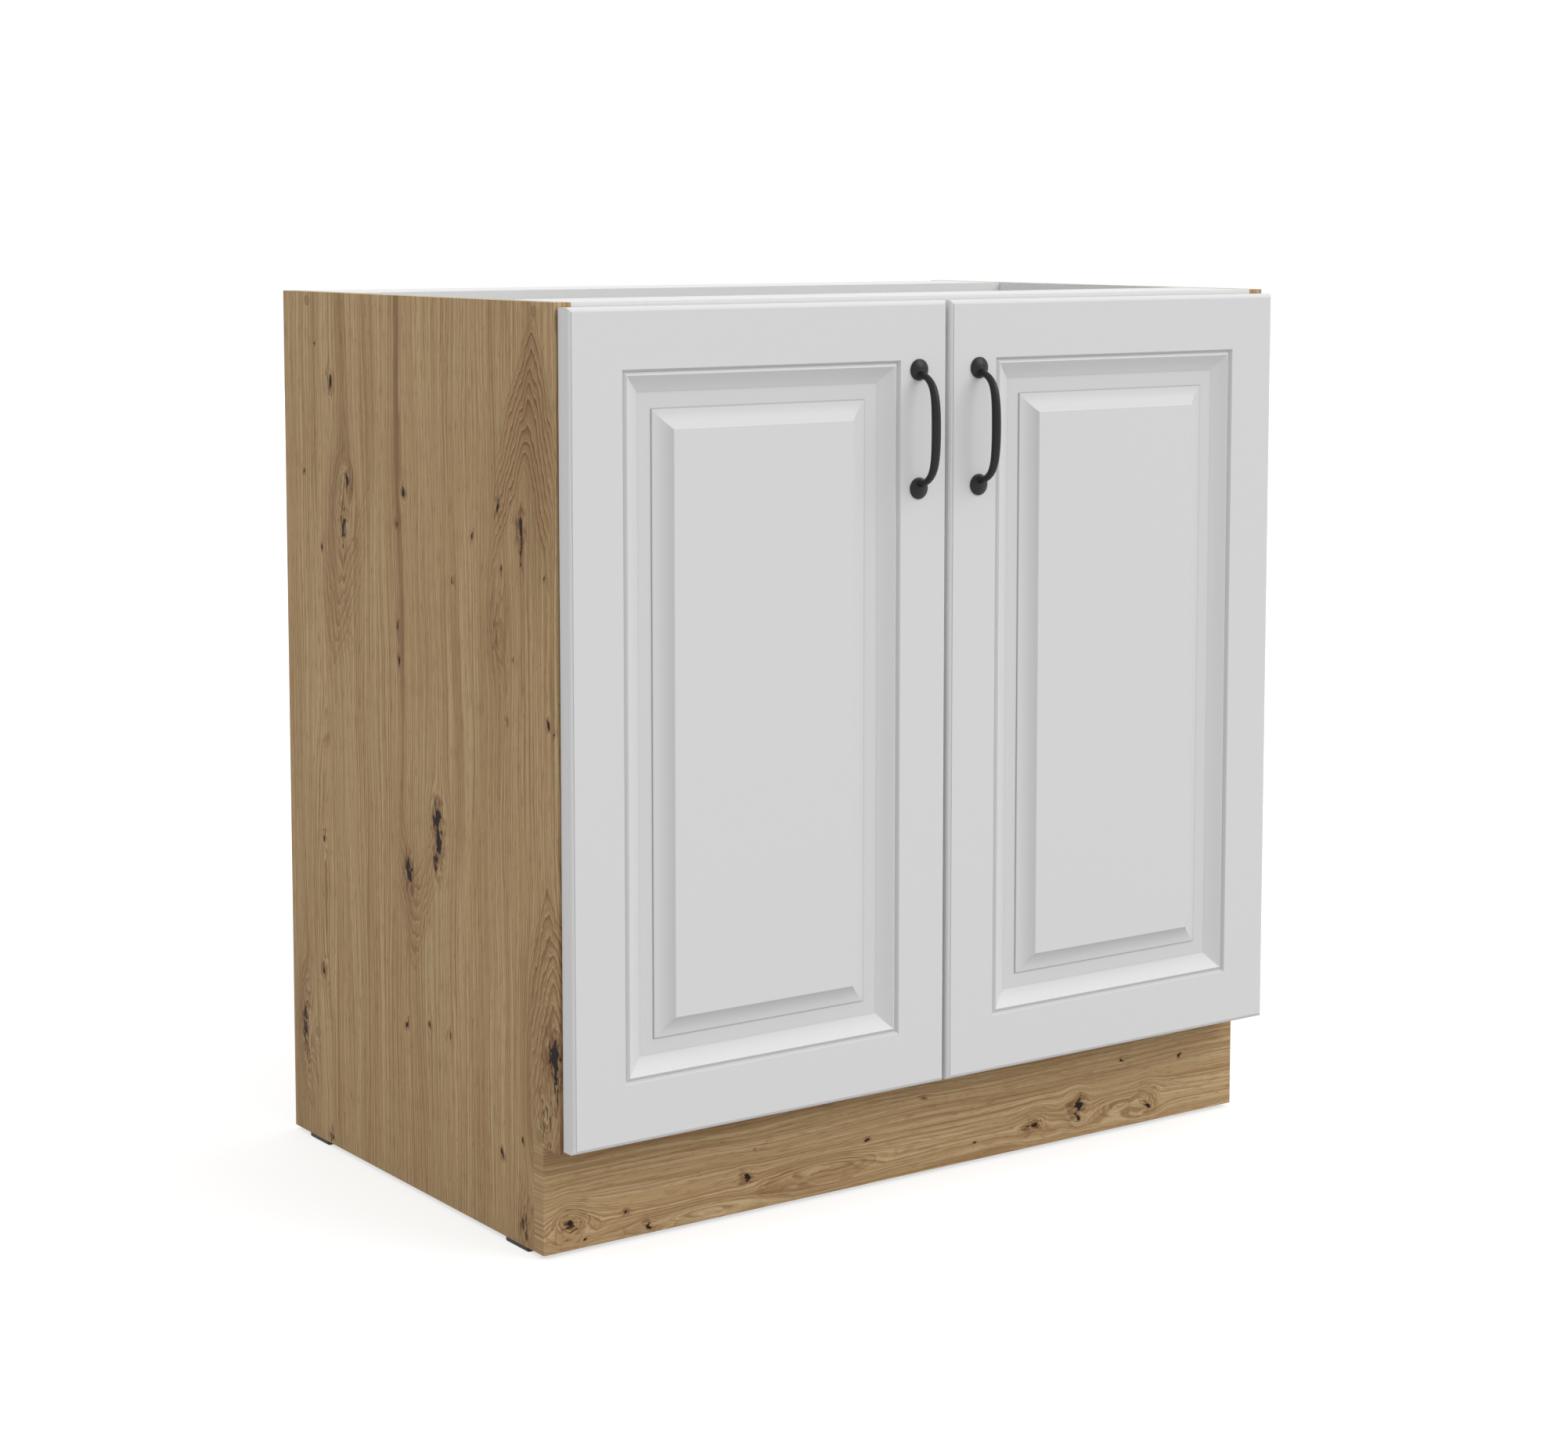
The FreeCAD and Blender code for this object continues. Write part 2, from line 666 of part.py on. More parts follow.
def rail_screw(name, place):
    head = rod(f"{name}_head", (side_outer + cap_thickness - cap_proud, place, rail_middle), "+x",
               screw_head_radius, screw_recess_depth - cap_thickness + cap_proud)
    shank = rod(f"{name}_shank", (side_outer + screw_recess_depth, place, rail_middle), "+x",
                screw_shank_radius, board - screw_recess_depth)
    thread = rod(f"{name}_thread", (side_inner, place, rail_middle), "+x", screw_core_radius,
                 screw_length + screw_recess_depth - board)
    socket = rod(f"{name}_socket", (side_outer, place, rail_middle), "+x", screw_socket_radius,
                 screw_socket_depth + cap_thickness)
    return cut(name, fuse(f"{name}_solid", [head, shank, thread]), [socket])


CAP_RIM_SHARE = 0.8


def screw_cap(name, place):
    disc = rod(f"{name}_disc", (side_outer - cap_proud, place, rail_middle), "+x",
               screw_recess_radius - fit_gap, cap_thickness)
    rounded = doc.addObject("Part::Chamfer", name)
    rounded.Base = disc
    rim = cap_proud.number * CAP_RIM_SHARE
    rounded.Edges = [(rim_edge(disc, V(-1, 0, 0)), rim, rim)]
    return rounded


def rim_edge(thing, way):
    """Number of the round edge that lies furthest along a direction."""
    doc.recompute()
    edges = [(edge.CenterOfMass.dot(way), index) for index, edge in enumerate(thing.Shape.Edges, 1)
             if len(edge.Vertexes) == 1]
    return max(edges)[1]


def dowel(name, place, height):
    peg = rod(f"{name}_peg", (side_inner - dowel_in_side, place, height), "+x", dowel_radius, dowel_length)
    ends = doc.addObject("Part::Chamfer", name)
    ends.Base = peg
    round_number = dowel_end_round.number
    ends.Edges = [(rim_edge(peg, V(way, 0, 0)), round_number, round_number) for way in (-1, 1)]
    return ends


def cam_bolt(name, place):
    thread = rod(f"{name}_thread", (side_inner - bolt_thread_length, place, bottom_middle), "+x",
                 bolt_thread_radius, bolt_thread_length)
    shank = rod(f"{name}_shank", (side_inner, place, bottom_middle), "+x", bolt_radius,
                cam_from_end - bolt_radius)
    return fuse(name, [thread, shank])


def cam(name, place):
    middle = side_inner + cam_from_end
    drum = rod(f"{name}_drum", (middle, place, toe_height), "+z", cam_radius, cam_depth)
    mouth = rod(f"{name}_mouth", (middle - cam_radius - overrun, place, bottom_middle), "+x",
                bolt_bore_radius, cam_radius + overrun)
    long, half = cam_radius / 2, cam_slot_width / 2
    low, high = toe_height - overrun, toe_height + cam_slot_depth
    across = box(f"{name}_across", (middle - long, place - half, low), (middle + long, place + half, high))
    along = box(f"{name}_along", (middle - half, place - long, low), (middle + half, place + long, high))
    return cut(name, drum, [mouth, across, along])


def shelf_pin(name, place):
    height = shelf_height - pin_hole_radius
    peg = rod(f"{name}_peg", (side_inner - pin_in_side, place, height), "+x", pin_hole_radius, pin_length)
    collar = rod(f"{name}_collar", (side_inner, place, height), "+x", pin_collar_radius, pin_collar)
    return fuse(name, [peg, collar])


both_sides("rail_screw_group", "rail_screws",
           [rail_screw("screw_front", rail_screw_front), rail_screw("screw_back", rail_screw_back)])
both_sides("cap_group", "screw_caps", [screw_cap("cap_front", rail_screw_front),
                                       screw_cap("cap_back", rail_screw_back)])
both_sides("dowel_group", "dowels", [
    dowel("dowel_front_rail", front_dowel, rail_middle),
    dowel("dowel_rear_rail", back_dowel, rail_middle),
    dowel("dowel_bottom_front", bottom_front_dowel, bottom_middle),
    dowel("dowel_bottom_back", bottom_back_dowel, bottom_middle),
])
both_sides("bolt_group", "cam_bolts", [cam_bolt("bolt_front", cam_front), cam_bolt("bolt_back", cam_back)])
both_sides("cam_group", "cam_housings", [cam("cam_drum_front", cam_front), cam("cam_drum_back", cam_back)])
both_sides("shelf_pin_group", "shelf_supports",
           [shelf_pin("shelf_pin_front", shelf_row_front), shelf_pin("shelf_pin_back", shelf_row_back)])


def back_pins():
    pins = []
    for index, place in enumerate(nail_places):
        for level, height in (("low", bottom_middle), ("high", rail_middle)):
            rear = carcass_back + back_thickness
            shank = rod(f"back_pin_{level}{index}", (place, rear, height), "-y", back_pin_radius,
                        back_pin_length)
            head = rod(f"back_pin_head_{level}{index}", (place, rear, height), "+y",
                       back_pin_head_radius, back_pin_head)
            pins.append(fuse(f"back_pin_whole_{level}{index}", [shank, head]))
    node(group("back_pin_group", pins), "back_panel_pins")


back_pins()


# Plinth: one board across the whole width in the notches of the sides, held from behind by two
# ribbed corner brackets.
def plinth():
    body = plate_body("plinth_board", "XY_Plane", side_bottom, [
        (side_outer, plinth_setback),
        (-side_outer, plinth_setback),
        (-side_outer, toe_depth),
        (side_outer, toe_depth),
    ], toe_height - side_bottom)
    middle = bracket_height + bracket_width / 2
    holes = [(side_inner + bracket_screw_out, middle), (-side_inner - bracket_screw_out, middle)]
    drill(body, "plinth_screw_holes", "XZ_Plane", -toe_depth, holes, bracket_screw_radius + fit_gap,
          bracket_screw_length - bracket_wall + rest_gap, True)
    node(body, "plinth")


def bracket():
    low = bracket_height
    high = bracket_height + bracket_width
    at_side = box("bracket_at_side", (side_inner, toe_depth, low),
                  (side_inner + bracket_wall, toe_depth + bracket_leg, high))
    at_plinth = box("bracket_at_plinth", (side_inner, toe_depth, low),
                    (side_inner + bracket_leg, toe_depth + bracket_wall, high))
    ribs = []
    for tag, start in (("low", low), ("high", high - bracket_rib)):
        rib = doc.addObject("Part::Wedge", f"bracket_rib_{tag}")
        bind(rib, Xmin=0, Ymin=0, Zmin=0, X2min=0, Z2min=0, Xmax=bracket_leg, X2max=bracket_wall,
             Ymax=bracket_leg, Zmax=bracket_rib, Z2max=bracket_rib)
        bind(rib, Placement__Base__x=side_inner, Placement__Base__y=toe_depth, Placement__Base__z=start)
        ribs.append(rib)
    solid = fuse("bracket_solid", [at_side, at_plinth] + ribs)
    middle = bracket_height + bracket_width / 2
    to_side = rod("bracket_hole_side", (side_inner - overrun, toe_depth + bracket_screw_out, middle), "+x",
                  bracket_screw_radius + fit_gap, bracket_wall + overrun * 2)
    to_plinth = rod("bracket_hole_plinth", (side_inner + bracket_screw_out, toe_depth - overrun, middle),
                    "+y", bracket_screw_radius + fit_gap, bracket_wall + overrun * 2)
    node(cut("bracket", solid, [to_side, to_plinth]), "plinth_bracket_left")
    mirror_node("plinth_bracket_left", "plinth_bracket_right")
    screws = []
    for tag, place, inward_way, outward_way in (
        ("side", (side_inner + bracket_wall, toe_depth + bracket_screw_out, middle), "-x", "+x"),
        ("plinth", (side_inner + bracket_screw_out, toe_depth + bracket_wall, middle), "-y", "+y"),
    ):
        shank = rod(f"bracket_shank_{tag}", place, inward_way, bracket_screw_radius, bracket_screw_length)
        head = rod(f"bracket_head_{tag}", place, outward_way, bracket_head_radius, bracket_head)
        screws.append(fuse(f"bracket_screw_{tag}", [shank, head]))
    both_sides("bracket_screw_group", "plinth_bracket_screws", screws)


plinth()
bracket()


# Glides: black plastic bars under the sides, each with a spike driven up into the board's edge.
def glide(name, label, middle):
    body = doc.addObject("PartDesign::Body", name)
    drawing = on_plane(body, f"{name}_outline", "XY_Plane", zero)
    outline(drawing, [
        (side_outer, middle - glide_length / 2),
        (side_inner, middle - glide_length / 2),
        (side_inner, middle + glide_length / 2),
        (side_outer, middle + glide_length / 2),
    ])
    bar = pad(body, drawing, glide_height)
    doc.recompute()
    upright = [f"Edge{index}" for index, edge in enumerate(bar.Shape.Edges, 1)
               if edge.BoundBox.ZLength > glide_height.number / 2]
    corners = body.newObject("PartDesign::Fillet", f"{name}_corners")
    corners.Base = (bar, upright)
    bind(corners, Radius=glide_corner)
    doc.recompute()
    floor_edges = [f"Edge{index}" for index, edge in enumerate(corners.Shape.Edges, 1)
                   if abs(edge.CenterOfMass.z) < fit_gap.number]
    rim = body.newObject("PartDesign::Chamfer", f"{name}_rim")
    rim.Base = (corners, floor_edges)
    bind(rim, Size=glide_edge_round)
    spike = on_plane(body, f"{name}_spike", "XY_Plane", glide_height)
    circles(spike, [(side_outer + board / 2, middle)], glide_spike_radius)
    pad(body, spike, glide_spike_length)
    node(body, label)


glide("glide_front", "glide_front_left", glide_middles[0])
glide("glide_back", "glide_back_left", glide_middles[1])
mirror_node("glide_front_left", "glide_front_right")
mirror_node("glide_back_left", "glide_back_right")


# Doors: foil-wrapped boards with a milled front. All four edges carry the same section, which one
# cutter runs round the door with mitred corners. Its points hold the distance from the door's edge
# and the depth below its face.
def bulge_radius(start, end, sag):
    """The radius of an arc from how far it rises over its chord."""
    across, deep = end[0] - start[0], end[1] - start[1]
    return ((across * across + deep * deep) / 4 + sag * sag) / (sag * 2)


def section(drawing, corners, radii):
    """A closed section of lines, and of arcs where radii names a segment that bulges to its left."""
    count = len(corners)
    spots = [V(number(across), number(deep), 0) for across, deep in corners]
    for index in range(count):
        start, end = spots[index], spots[(index + 1) % count]
        if index not in radii:
            drawing.addGeometry(Part.LineSegment(start, end), False)
            continue
        chord, radius = end - start, number(radii[index])
        out = V(-chord.y, chord.x, 0).normalize()
        middle = (start + end) / 2 - out * math.sqrt(radius ** 2 - chord.Length ** 2 / 4)
        turns = [math.atan2(spot.y - middle.y, spot.x - middle.x) for spot in (end, start)]
        drawing.addGeometry(Part.ArcOfCircle(Part.Circle(middle, V(0, 0, 1), radius), *turns), False)
    ends = [(2, 1) if index in radii else (1, 2) for index in range(count)]
    for index in range(count):
        after = (index + 1) % count
        drawing.addConstraint(Sketcher.Constraint("Coincident", index, ends[index][1], after, ends[after][0]))
    for index, corner in enumerate(corners):
        pin_point(drawing, index, ends[index][0], f"corner{index}", corner)
    for index, radius in radii.items():
        mark = drawing.addConstraint(Sketcher.Constraint("Radius", index, number(radius)))
        drawing.renameConstraint(mark, f"bulge{index}")
        bind(drawing, **{f"Constraints__bulge{index}": radius})


def mill(body, name, points, radii):
    """Run a cutter of one section round the door's edge."""
    path = body.newObject("Sketcher::SketchObject", f"{name}_path")
    plane = next(item for item in body.Origin.OriginFeatures if item.Role == "XZ_Plane")
    path.AttachmentSupport = [(plane, "")]
    path.MapMode = "FlatFace"
    bind(path, AttachmentOffset__Base__z=-door_front)
    outline(path, [
        (door_outer, door_middle),
        (door_outer, door_bottom),
        (door_inner, door_bottom),
        (door_inner, door_top),
        (door_outer, door_top),
    ])
    drawing = on_plane(body, f"{name}_section", "XY_Plane", door_middle)
    section(drawing, [(door_outer + across, door_front + deep) for across, deep in points], radii)
    cutter = body.newObject("PartDesign::SubtractivePipe", name)
    cutter.Profile = drawing
    cutter.Spine = path
    cutter.Transition = "Right corner"
    drawing.Visibility = False
    return cutter


def door():
    body = plate_body("door_board", "XZ_Plane", -door_back, [
        (door_outer, door_bottom),
        (door_inner, door_bottom),
        (door_inner, door_top),
        (door_outer, door_top),
    ], door_thickness)
    hinge_side = door_outer + cup_from_edge
    cups = [(hinge_side, middle) for middle in hinge_heights.values()]
    drill(body, "door_cup_bores", "XZ_Plane", -door_back, cups, cup_bore_radius, cup_bore_depth, True)
    pilots = []
    for middle in hinge_heights.values():
        for way in (-1, 1):
            pilots.append((hinge_side + cup_screw_offset, middle + cup_screw_half * way))
    drill(body, "door_pilots", "XZ_Plane", -door_back, pilots, cup_screw_radius + fit_gap,
          cup_screw_length + rest_gap, True)
    handle_x = door_inner - handle_from_edge
    handle_holes = [(handle_x, handle_height - handle_screw_spacing / 2),
                    (handle_x, handle_height + handle_screw_spacing / 2)]
    drill(body, "door_handle_holes", "XZ_Plane", -door_back, handle_holes, handle_hole_radius,
          door_thickness, True)
    edge_top, edge_foot = (edge_step_width, edge_step_height), (zero, edge_step_height + edge_round)
    mill(body, "door_edge", [
        (-overrun, -overrun),
        (edge_step_width, -overrun),
        edge_top,
        edge_foot,
        (-overrun, edge_foot[1]),
    ], {2: bulge_radius(edge_top, edge_foot, edge_bulge_height)})
    crest, bevel_end = (crest_in, crest_depth), (bevel_end_in, recess_depth)
    mill(body, "door_relief", [
        (groove_start, -overrun),
        (groove_start, zero),
        (groove_bottom_in, groove_depth),
        crest,
        bevel_end,
        (recess_end_in, recess_depth),
        (recess_end_in, recess_depth - field_step_height),
        (field_in, zero),
        (field_in, -overrun),
    ], {3: bulge_radius(crest, bevel_end, bevel_sag), 6: cove_radius})
    node(body, "door_left")
    mirror_node("door_left", "door_right")


door()

# Handles: cast bow handles. Each bow leaves the inner half of its two domed rosettes with a flared
# foot, swings out over a shoulder and is thickest in the middle. The table holds shares of half the
# screw spacing, the reach and the thickness, from the upper foot to the middle.
BOW_SHARES = [
    (1.00, 0.10, 1.00),
    (1.00, 0.22, 0.80),
    (0.985, 0.36, 0.73),
    (0.93, 0.56, 0.75),
    (0.83, 0.75, 0.82),
    (0.65, 0.90, 0.91),
    (0.36, 0.98, 0.98),
    (0.00, 1.00, 1.00),
]
BOW_SPANS = 28


def bow():
    """Round rings square to a smooth line. The line's X carries the radius of the ring, so the shape is
    worked out here and not drawn."""
    half, reach, thick = (handle_screw_spacing / 2).number, bow_reach.number, bow_thickness.number
    upper = [V(share * thick / 2, -out * reach, along * half) for along, out, share in BOW_SHARES]
    lower = [V(point.x, point.y, -point.z) for point in reversed(upper[:-1])]
    line = Part.BSplineCurve()
    line.interpolate(upper + lower)
    rings = []
    for index in range(BOW_SPANS + 1):
        share = line.FirstParameter + (line.LastParameter - line.FirstParameter) * index / BOW_SPANS
        point, way = line.value(share), line.tangent(share)[0]
        ring = Part.Wire(Part.makeCircle(point.x))
        lean = math.degrees(math.atan2(-way.y, way.z))
        ring.Placement = FreeCAD.Placement(V(0, point.y, point.z), FreeCAD.Rotation(V(1, 0, 0), lean))
        rings.append(ring)
    return Part.makeLoft(rings, True, True)


def rosette():
    """A low round dome on a thin rim, turned about its own axis."""
    body = doc.addObject("PartDesign::Body", "rosette")
    drawing = on_plane(body, "rosette_section", "XY_Plane", zero)
    rim, tip = (rosette_radius, -rosette_rim), (zero, -rosette_rim - rosette_dome)
    ball = (rosette_radius * rosette_radius + rosette_dome * rosette_dome) / (rosette_dome * 2)
    section(drawing, [(zero, zero), (rosette_radius, zero), rim, tip], {2: ball})
    turned = body.newObject("PartDesign::Revolution", "rosette_dome")
    turned.Profile = drawing
    turned.ReferenceAxis = (drawing, ["V_Axis"])
    drawing.Visibility = False
    return body


def handle():
    cast = doc.addObject("Part::Feature", "handle_bow")
    cast.Shape = bow()
    turned = rosette()
    discs, holes = [], []
    for tag, way in (("upper", 1), ("lower", -1)):
        disc = group(f"rosette_{tag}", [turned])
        bind(disc, Placement__Base__z=rosette_spacing / 2 * way)
        discs.append(disc)
        holes.append(rod(f"handle_hole_{tag}", (zero, overrun, handle_screw_spacing / 2 * way), "-y",
                         handle_screw_radius + fit_gap, handle_screw_grip + overrun + rest_gap))
    casting = cut("handle_casting", fuse("handle_blank", [cast] + discs), holes)
    bind(casting, Placement__Base__x=door_inner - handle_from_edge, Placement__Base__y=door_front,
         Placement__Base__z=handle_height)
    node(group("handle_left_group", [casting]), "handle_left")
    mirror_node("handle_left", "handle_right")


def handle_screws():
    pieces = []
    across = door_inner - handle_from_edge
    for index, way in enumerate((-1, 1)):
        place = (across, door_back, handle_height + handle_screw_spacing / 2 * way)
        head = rod(f"handle_screw_head{index}", place, "+y", handle_screw_head_radius, handle_screw_head)
        shank = rod(f"handle_screw_shank{index}", place, "-y", handle_screw_radius,
                    door_thickness + handle_screw_grip)
        pieces.append(fuse(f"handle_screw{index}", [head, shank]))
    node(group("handle_screw_group", pieces), "handle_screws_left")
    mirror_node("handle_screws_left", "handle_screws_right")


def bumpers():
    discs = []
    for tag, height in (("low", door_bottom + bumper_from_end), ("high", door_top - bumper_from_end)):
        discs.append(rod(f"bumper_{tag}", (door_inner - bumper_from_edge, door_back, height), "+y",
                         bumper_radius, door_back_gap - rest_gap))
    node(group("bumper_group", discs), "door_bumpers_left")
    mirror_node("door_bumpers_left", "door_bumpers_right")


handle()
handle_screws()
bumpers()


# Concealed hinges. Four pivots: two on the arm behind the panel's front edge, two in the door cup.
# A pair of outer link plates and one inner link join them; the inner link's arm end is a slot.
# The stack across a hinge is inner link, arm lugs, outer link plates, arm cheeks. Every piece is made
# about the hinge's middle height and then raised to each hinge.
lug_half = inner_link_half + link_gap
outer_plate_half = lug_half + lug_thickness + link_gap
arm_inner_half = outer_plate_half + plate_thickness + link_gap
arm_half = arm_inner_half + arm_wall
rear_pivot = (side_inner + rear_pivot_in, rear_pivot_back)
front_pivot = (side_inner + front_pivot_in, front_pivot_back)
shallow_pivot = (door_outer + shallow_pivot_in, door_back - shallow_pivot_depth)
deep_pivot = (door_outer + deep_pivot_in, door_back - deep_pivot_depth)
cup_middle = door_outer + cup_from_edge


def slab(body, name, low, high, draw, *values):
    """Add a flat slab to a body between two heights; draw fills its sketch from the values."""
    drawing = on_plane(body, name, "XY_Plane", low)
    draw(drawing, *values)
    pad(body, drawing, high - low)


def slot(body, name, low, high, draw, *values):
    """Take a flat slab out of a body between two heights."""
    drawing = on_plane(body, name, "XY_Plane", low)
    draw(drawing, *values)
    pocket(body, drawing, high - low, True)


def outer_link():
    """Two bent plates, one each side of the inner link."""
    bend = (shallow_pivot[0] + outer_link_bend_in, shallow_pivot[1] - outer_link_bend_deep)
    plates = []
    for tag, low in (("above", outer_plate_half), ("below", -outer_plate_half - plate_thickness)):
        plate = doc.addObject("PartDesign::Body", f"outer_link_{tag}")
        high = low + plate_thickness
        slab(plate, f"outer_front_{tag}", low, high, strap, shallow_pivot, bend, outer_link_half_width)
        slab(plate, f"outer_rear_{tag}", low, high, strap, bend, rear_pivot, outer_link_half_width)
        slab(plate, f"outer_cup_eye_{tag}", low, high, circles, [shallow_pivot], outer_link_cup_eye)
        slab(plate, f"outer_arm_eye_{tag}", low, high, circles, [rear_pivot], outer_link_eye)
        slot(plate, f"outer_cup_hole_{tag}", low, high, circles, [shallow_pivot], cup_pin_radius + fit_gap)
        slot(plate, f"outer_arm_hole_{tag}", low, high, circles, [rear_pivot], arm_pin_radius + fit_gap)
        plates.append(plate)
    return plates


def inner_link():
    """A bent lever with an eye in the cup and a slot round the arm's front pin."""
    bend = (deep_pivot[0] + inner_link_bend_in, deep_pivot[1] - inner_link_bend_deep)
    middle = (front_pivot[0] + slot_middle_in, front_pivot[1] + slot_middle_back)
    along, across = slot_half_travel * cosine(slot_lean), slot_half_travel * sine(slot_lean)
    near = (middle[0] - along, middle[1] - across)
    far = (middle[0] + along, middle[1] + across)
    low, high = -inner_link_half, inner_link_half
    slot_half = arm_pin_radius + slot_play
    lever = doc.addObject("PartDesign::Body", "inner_link")
    slab(lever, "inner_front", low, high, strap, deep_pivot, bend, inner_link_half_width)
    slab(lever, "inner_rear", low, high, strap, bend, near, inner_link_half_width)
    slab(lever, "inner_slot_wall", low, high, strap, near, far, slot_half + slot_wall)
    slab(lever, "inner_cup_eye", low, high, circles, [deep_pivot], inner_link_eye)
    slot(lever, "inner_cup_hole", low, high, circles, [deep_pivot], cup_pin_radius + fit_gap)
    slot(lever, "inner_slot", low, high, strap, near, far, slot_half)
    return [lever]


def inward(distance, back):
    """A point of the arm from its distance to the panel and to the front edge."""
    return (side_inner + distance, as_size(back))


def hinge_arm():
    """A cast arm: outer cheeks for the rear pin, two lugs for the front pin, a block on the plate."""
    arm = doc.addObject("PartDesign::Body", "hinge_arm")
    slab(arm, "arm_block", -arm_half, arm_half, outline, [
        inward(arm_top_in, arm_front_back),
        inward(arm_top_in, arm_knee_back),
        inward(arm_tail_in, arm_tail_back),
        inward(arm_tail_in, arm_end_back),
        inward(ridge_top, arm_end_back),
        inward(ridge_top, arm_heel_back),
        inward(arm_chin_in, arm_chin_back),
        inward(arm_lip_in, arm_lip_back),
    ])
    web = arm_top_in - arm_wall
    slot(arm, "arm_throat", -arm_inner_half, arm_inner_half, outline, [
        inward(-overrun, -overrun),
        inward(web, -overrun),
        inward(web, arm_knee_back - arm_wall),
        inward(arm_chin_in, arm_heel_back),
        inward(-overrun, arm_heel_back),
    ])
    slot(arm, "arm_tail_pocket", -tail_pocket_half, tail_pocket_half, outline, [
        inward(zero, tail_pocket_front),
        inward(tail_pocket_top, tail_pocket_front),
        inward(tail_pocket_top, tail_pocket_back),
        inward(zero, tail_pocket_back),
    ])
    for tag, low in (("above", lug_half), ("below", -lug_half - lug_thickness)):
        high = low + lug_thickness
        slab(arm, f"arm_lug_{tag}", low, high, outline, [
            (front_pivot[0] - lug_radius, front_pivot[1]),
            (front_pivot[0] + lug_radius, front_pivot[1]),
            inward(arm_top_in - arm_wall / 2, arm_front_back),
            inward(arm_top_in - arm_wall / 2, arm_knee_back),
            inward(rear_pivot_in - lug_radius, arm_knee_back - arm_wall),
        ])
        slab(arm, f"arm_lug_eye_{tag}", low, high, circles, [front_pivot], lug_radius)
    pin_hole = arm_pin_radius + fit_gap
    slot(arm, "arm_rear_hole", -arm_half, arm_half, circles, [rear_pivot], pin_hole)
    slot(arm, "arm_front_hole", -arm_half, arm_half, circles, [front_pivot], pin_hole)
    for tag, back, seat in ARM_SCREWS:
        drill(arm, f"arm_{tag}_seat", "YZ_Plane", side_inner + seat, [(back, zero)],
              arm_screw_head_radius + fit_gap, arm_top_in, True)
        drill(arm, f"arm_{tag}_hole", "YZ_Plane", side_inner, [(back, zero)],
              arm_screw_radius + fit_gap, arm_top_in, True)
    return [arm]


ARM_SCREWS = [
    ("fixing", fixing_screw_back, fixing_seat_in),
    ("adjusting", adjusting_screw_back, adjusting_seat_in),
]


def bolt(name, back, start, length, radius, rise=zero):
    """A round bar square to the side panel."""
    return rod(name, (side_inner + start, back, rise), "+x", radius, length)


def arm_screws():
    screws = []
    for tag, back, seat in ARM_SCREWS:
        shank = bolt(f"{tag}_shank", back, arm_screw_end, seat - arm_screw_end, arm_screw_radius)
        head = bolt(f"{tag}_head", back, seat, arm_screw_head, arm_screw_head_radius)
        screws.append(fuse(f"{tag}_screw", [shank, head]))
    return screws


def hinge_plate():
    """The mounting plate: two wings for its screws and a ridge that carries the arm."""
    half_wing = plate_wing_width / 2
    blank = fuse("plate_blank", [
        box(f"plate_{tag}", (side_inner, front, -half), (side_inner + high, back, half))
        for tag, high, front, back, half in (
            ("base", plate_base, plate_front, plate_back, plate_half),
            ("wings", plate_wing_thickness, system_front - half_wing, system_front + half_wing,
             plate_wing_half),
            ("ridge", ridge_top, arm_heel_back, arm_end_back, ridge_half),
        )
    ])
    holes = []
    for index, way in enumerate((-1, 1)):
        holes.append(bolt(f"plate_hole{index}", system_front, -overrun, overrun * 3,
                          plate_screw_radius + fit_gap, plate_screw_half * way))
    for tag, back, _ in ARM_SCREWS:
        holes.append(bolt(f"plate_{tag}_hole", back, arm_screw_end, ridge_top, arm_screw_radius + fit_gap))
    return [cut("plate_casting", blank, holes)]


def plate_screws():
    screws = []
    for index, way in enumerate((-1, 1)):
        rise = plate_screw_half * way
        shank = bolt(f"plate_shank{index}", system_front, plate_wing_thickness - plate_screw_length,
                     plate_screw_length, plate_screw_radius, rise)
        head = bolt(f"plate_head{index}", system_front, plate_wing_thickness, plate_screw_head,
                    plate_screw_head_radius, rise)
        screws.append(fuse(f"plate_screw{index}", [shank, head]))
    return screws


def barrel(name, radius, start, length, offset=zero, rise=zero):
    """A round bar square to the door, from a depth measured forward of the door's back."""
    return rod(name, (cup_middle + offset, door_back - start, rise), "-y", radius, length)


def hinge_cup():
    """A pressed cup with a flange and two ears that are screwed to the door's back."""
    outer = cup_bore_radius - cup_play
    depth = cup_bore_depth - cup_play
    blank = fuse("cup_blank", [
        barrel("cup_drum", outer, zero, depth),
        barrel("cup_flange", flange_radius, -flange_thickness, flange_thickness),
        box("cup_ears", (cup_middle + flange_ear_near, door_back, -flange_ear_half),
            (cup_middle + flange_ear_far, door_back + flange_thickness, flange_ear_half)),
    ])
    hollow_start = -flange_thickness - overrun
    holes = [barrel("cup_hollow", outer - cup_wall, hollow_start, depth - cup_wall - hollow_start)]
    for index, way in enumerate((-1, 1)):
        holes.append(barrel(f"cup_screw_hole{index}", cup_screw_radius + fit_gap, -overrun, overrun * 2,
                            cup_screw_offset, cup_screw_half * way))
    for tag, pivot in (("shallow", shallow_pivot), ("deep", deep_pivot)):
        holes.append(rod(f"cup_{tag}_hole", (pivot[0], pivot[1], -cup_bore_radius), "+z",
                         cup_pin_radius + fit_gap, cup_bore_radius * 2))
    return [cut("cup_pressing", blank, holes)]


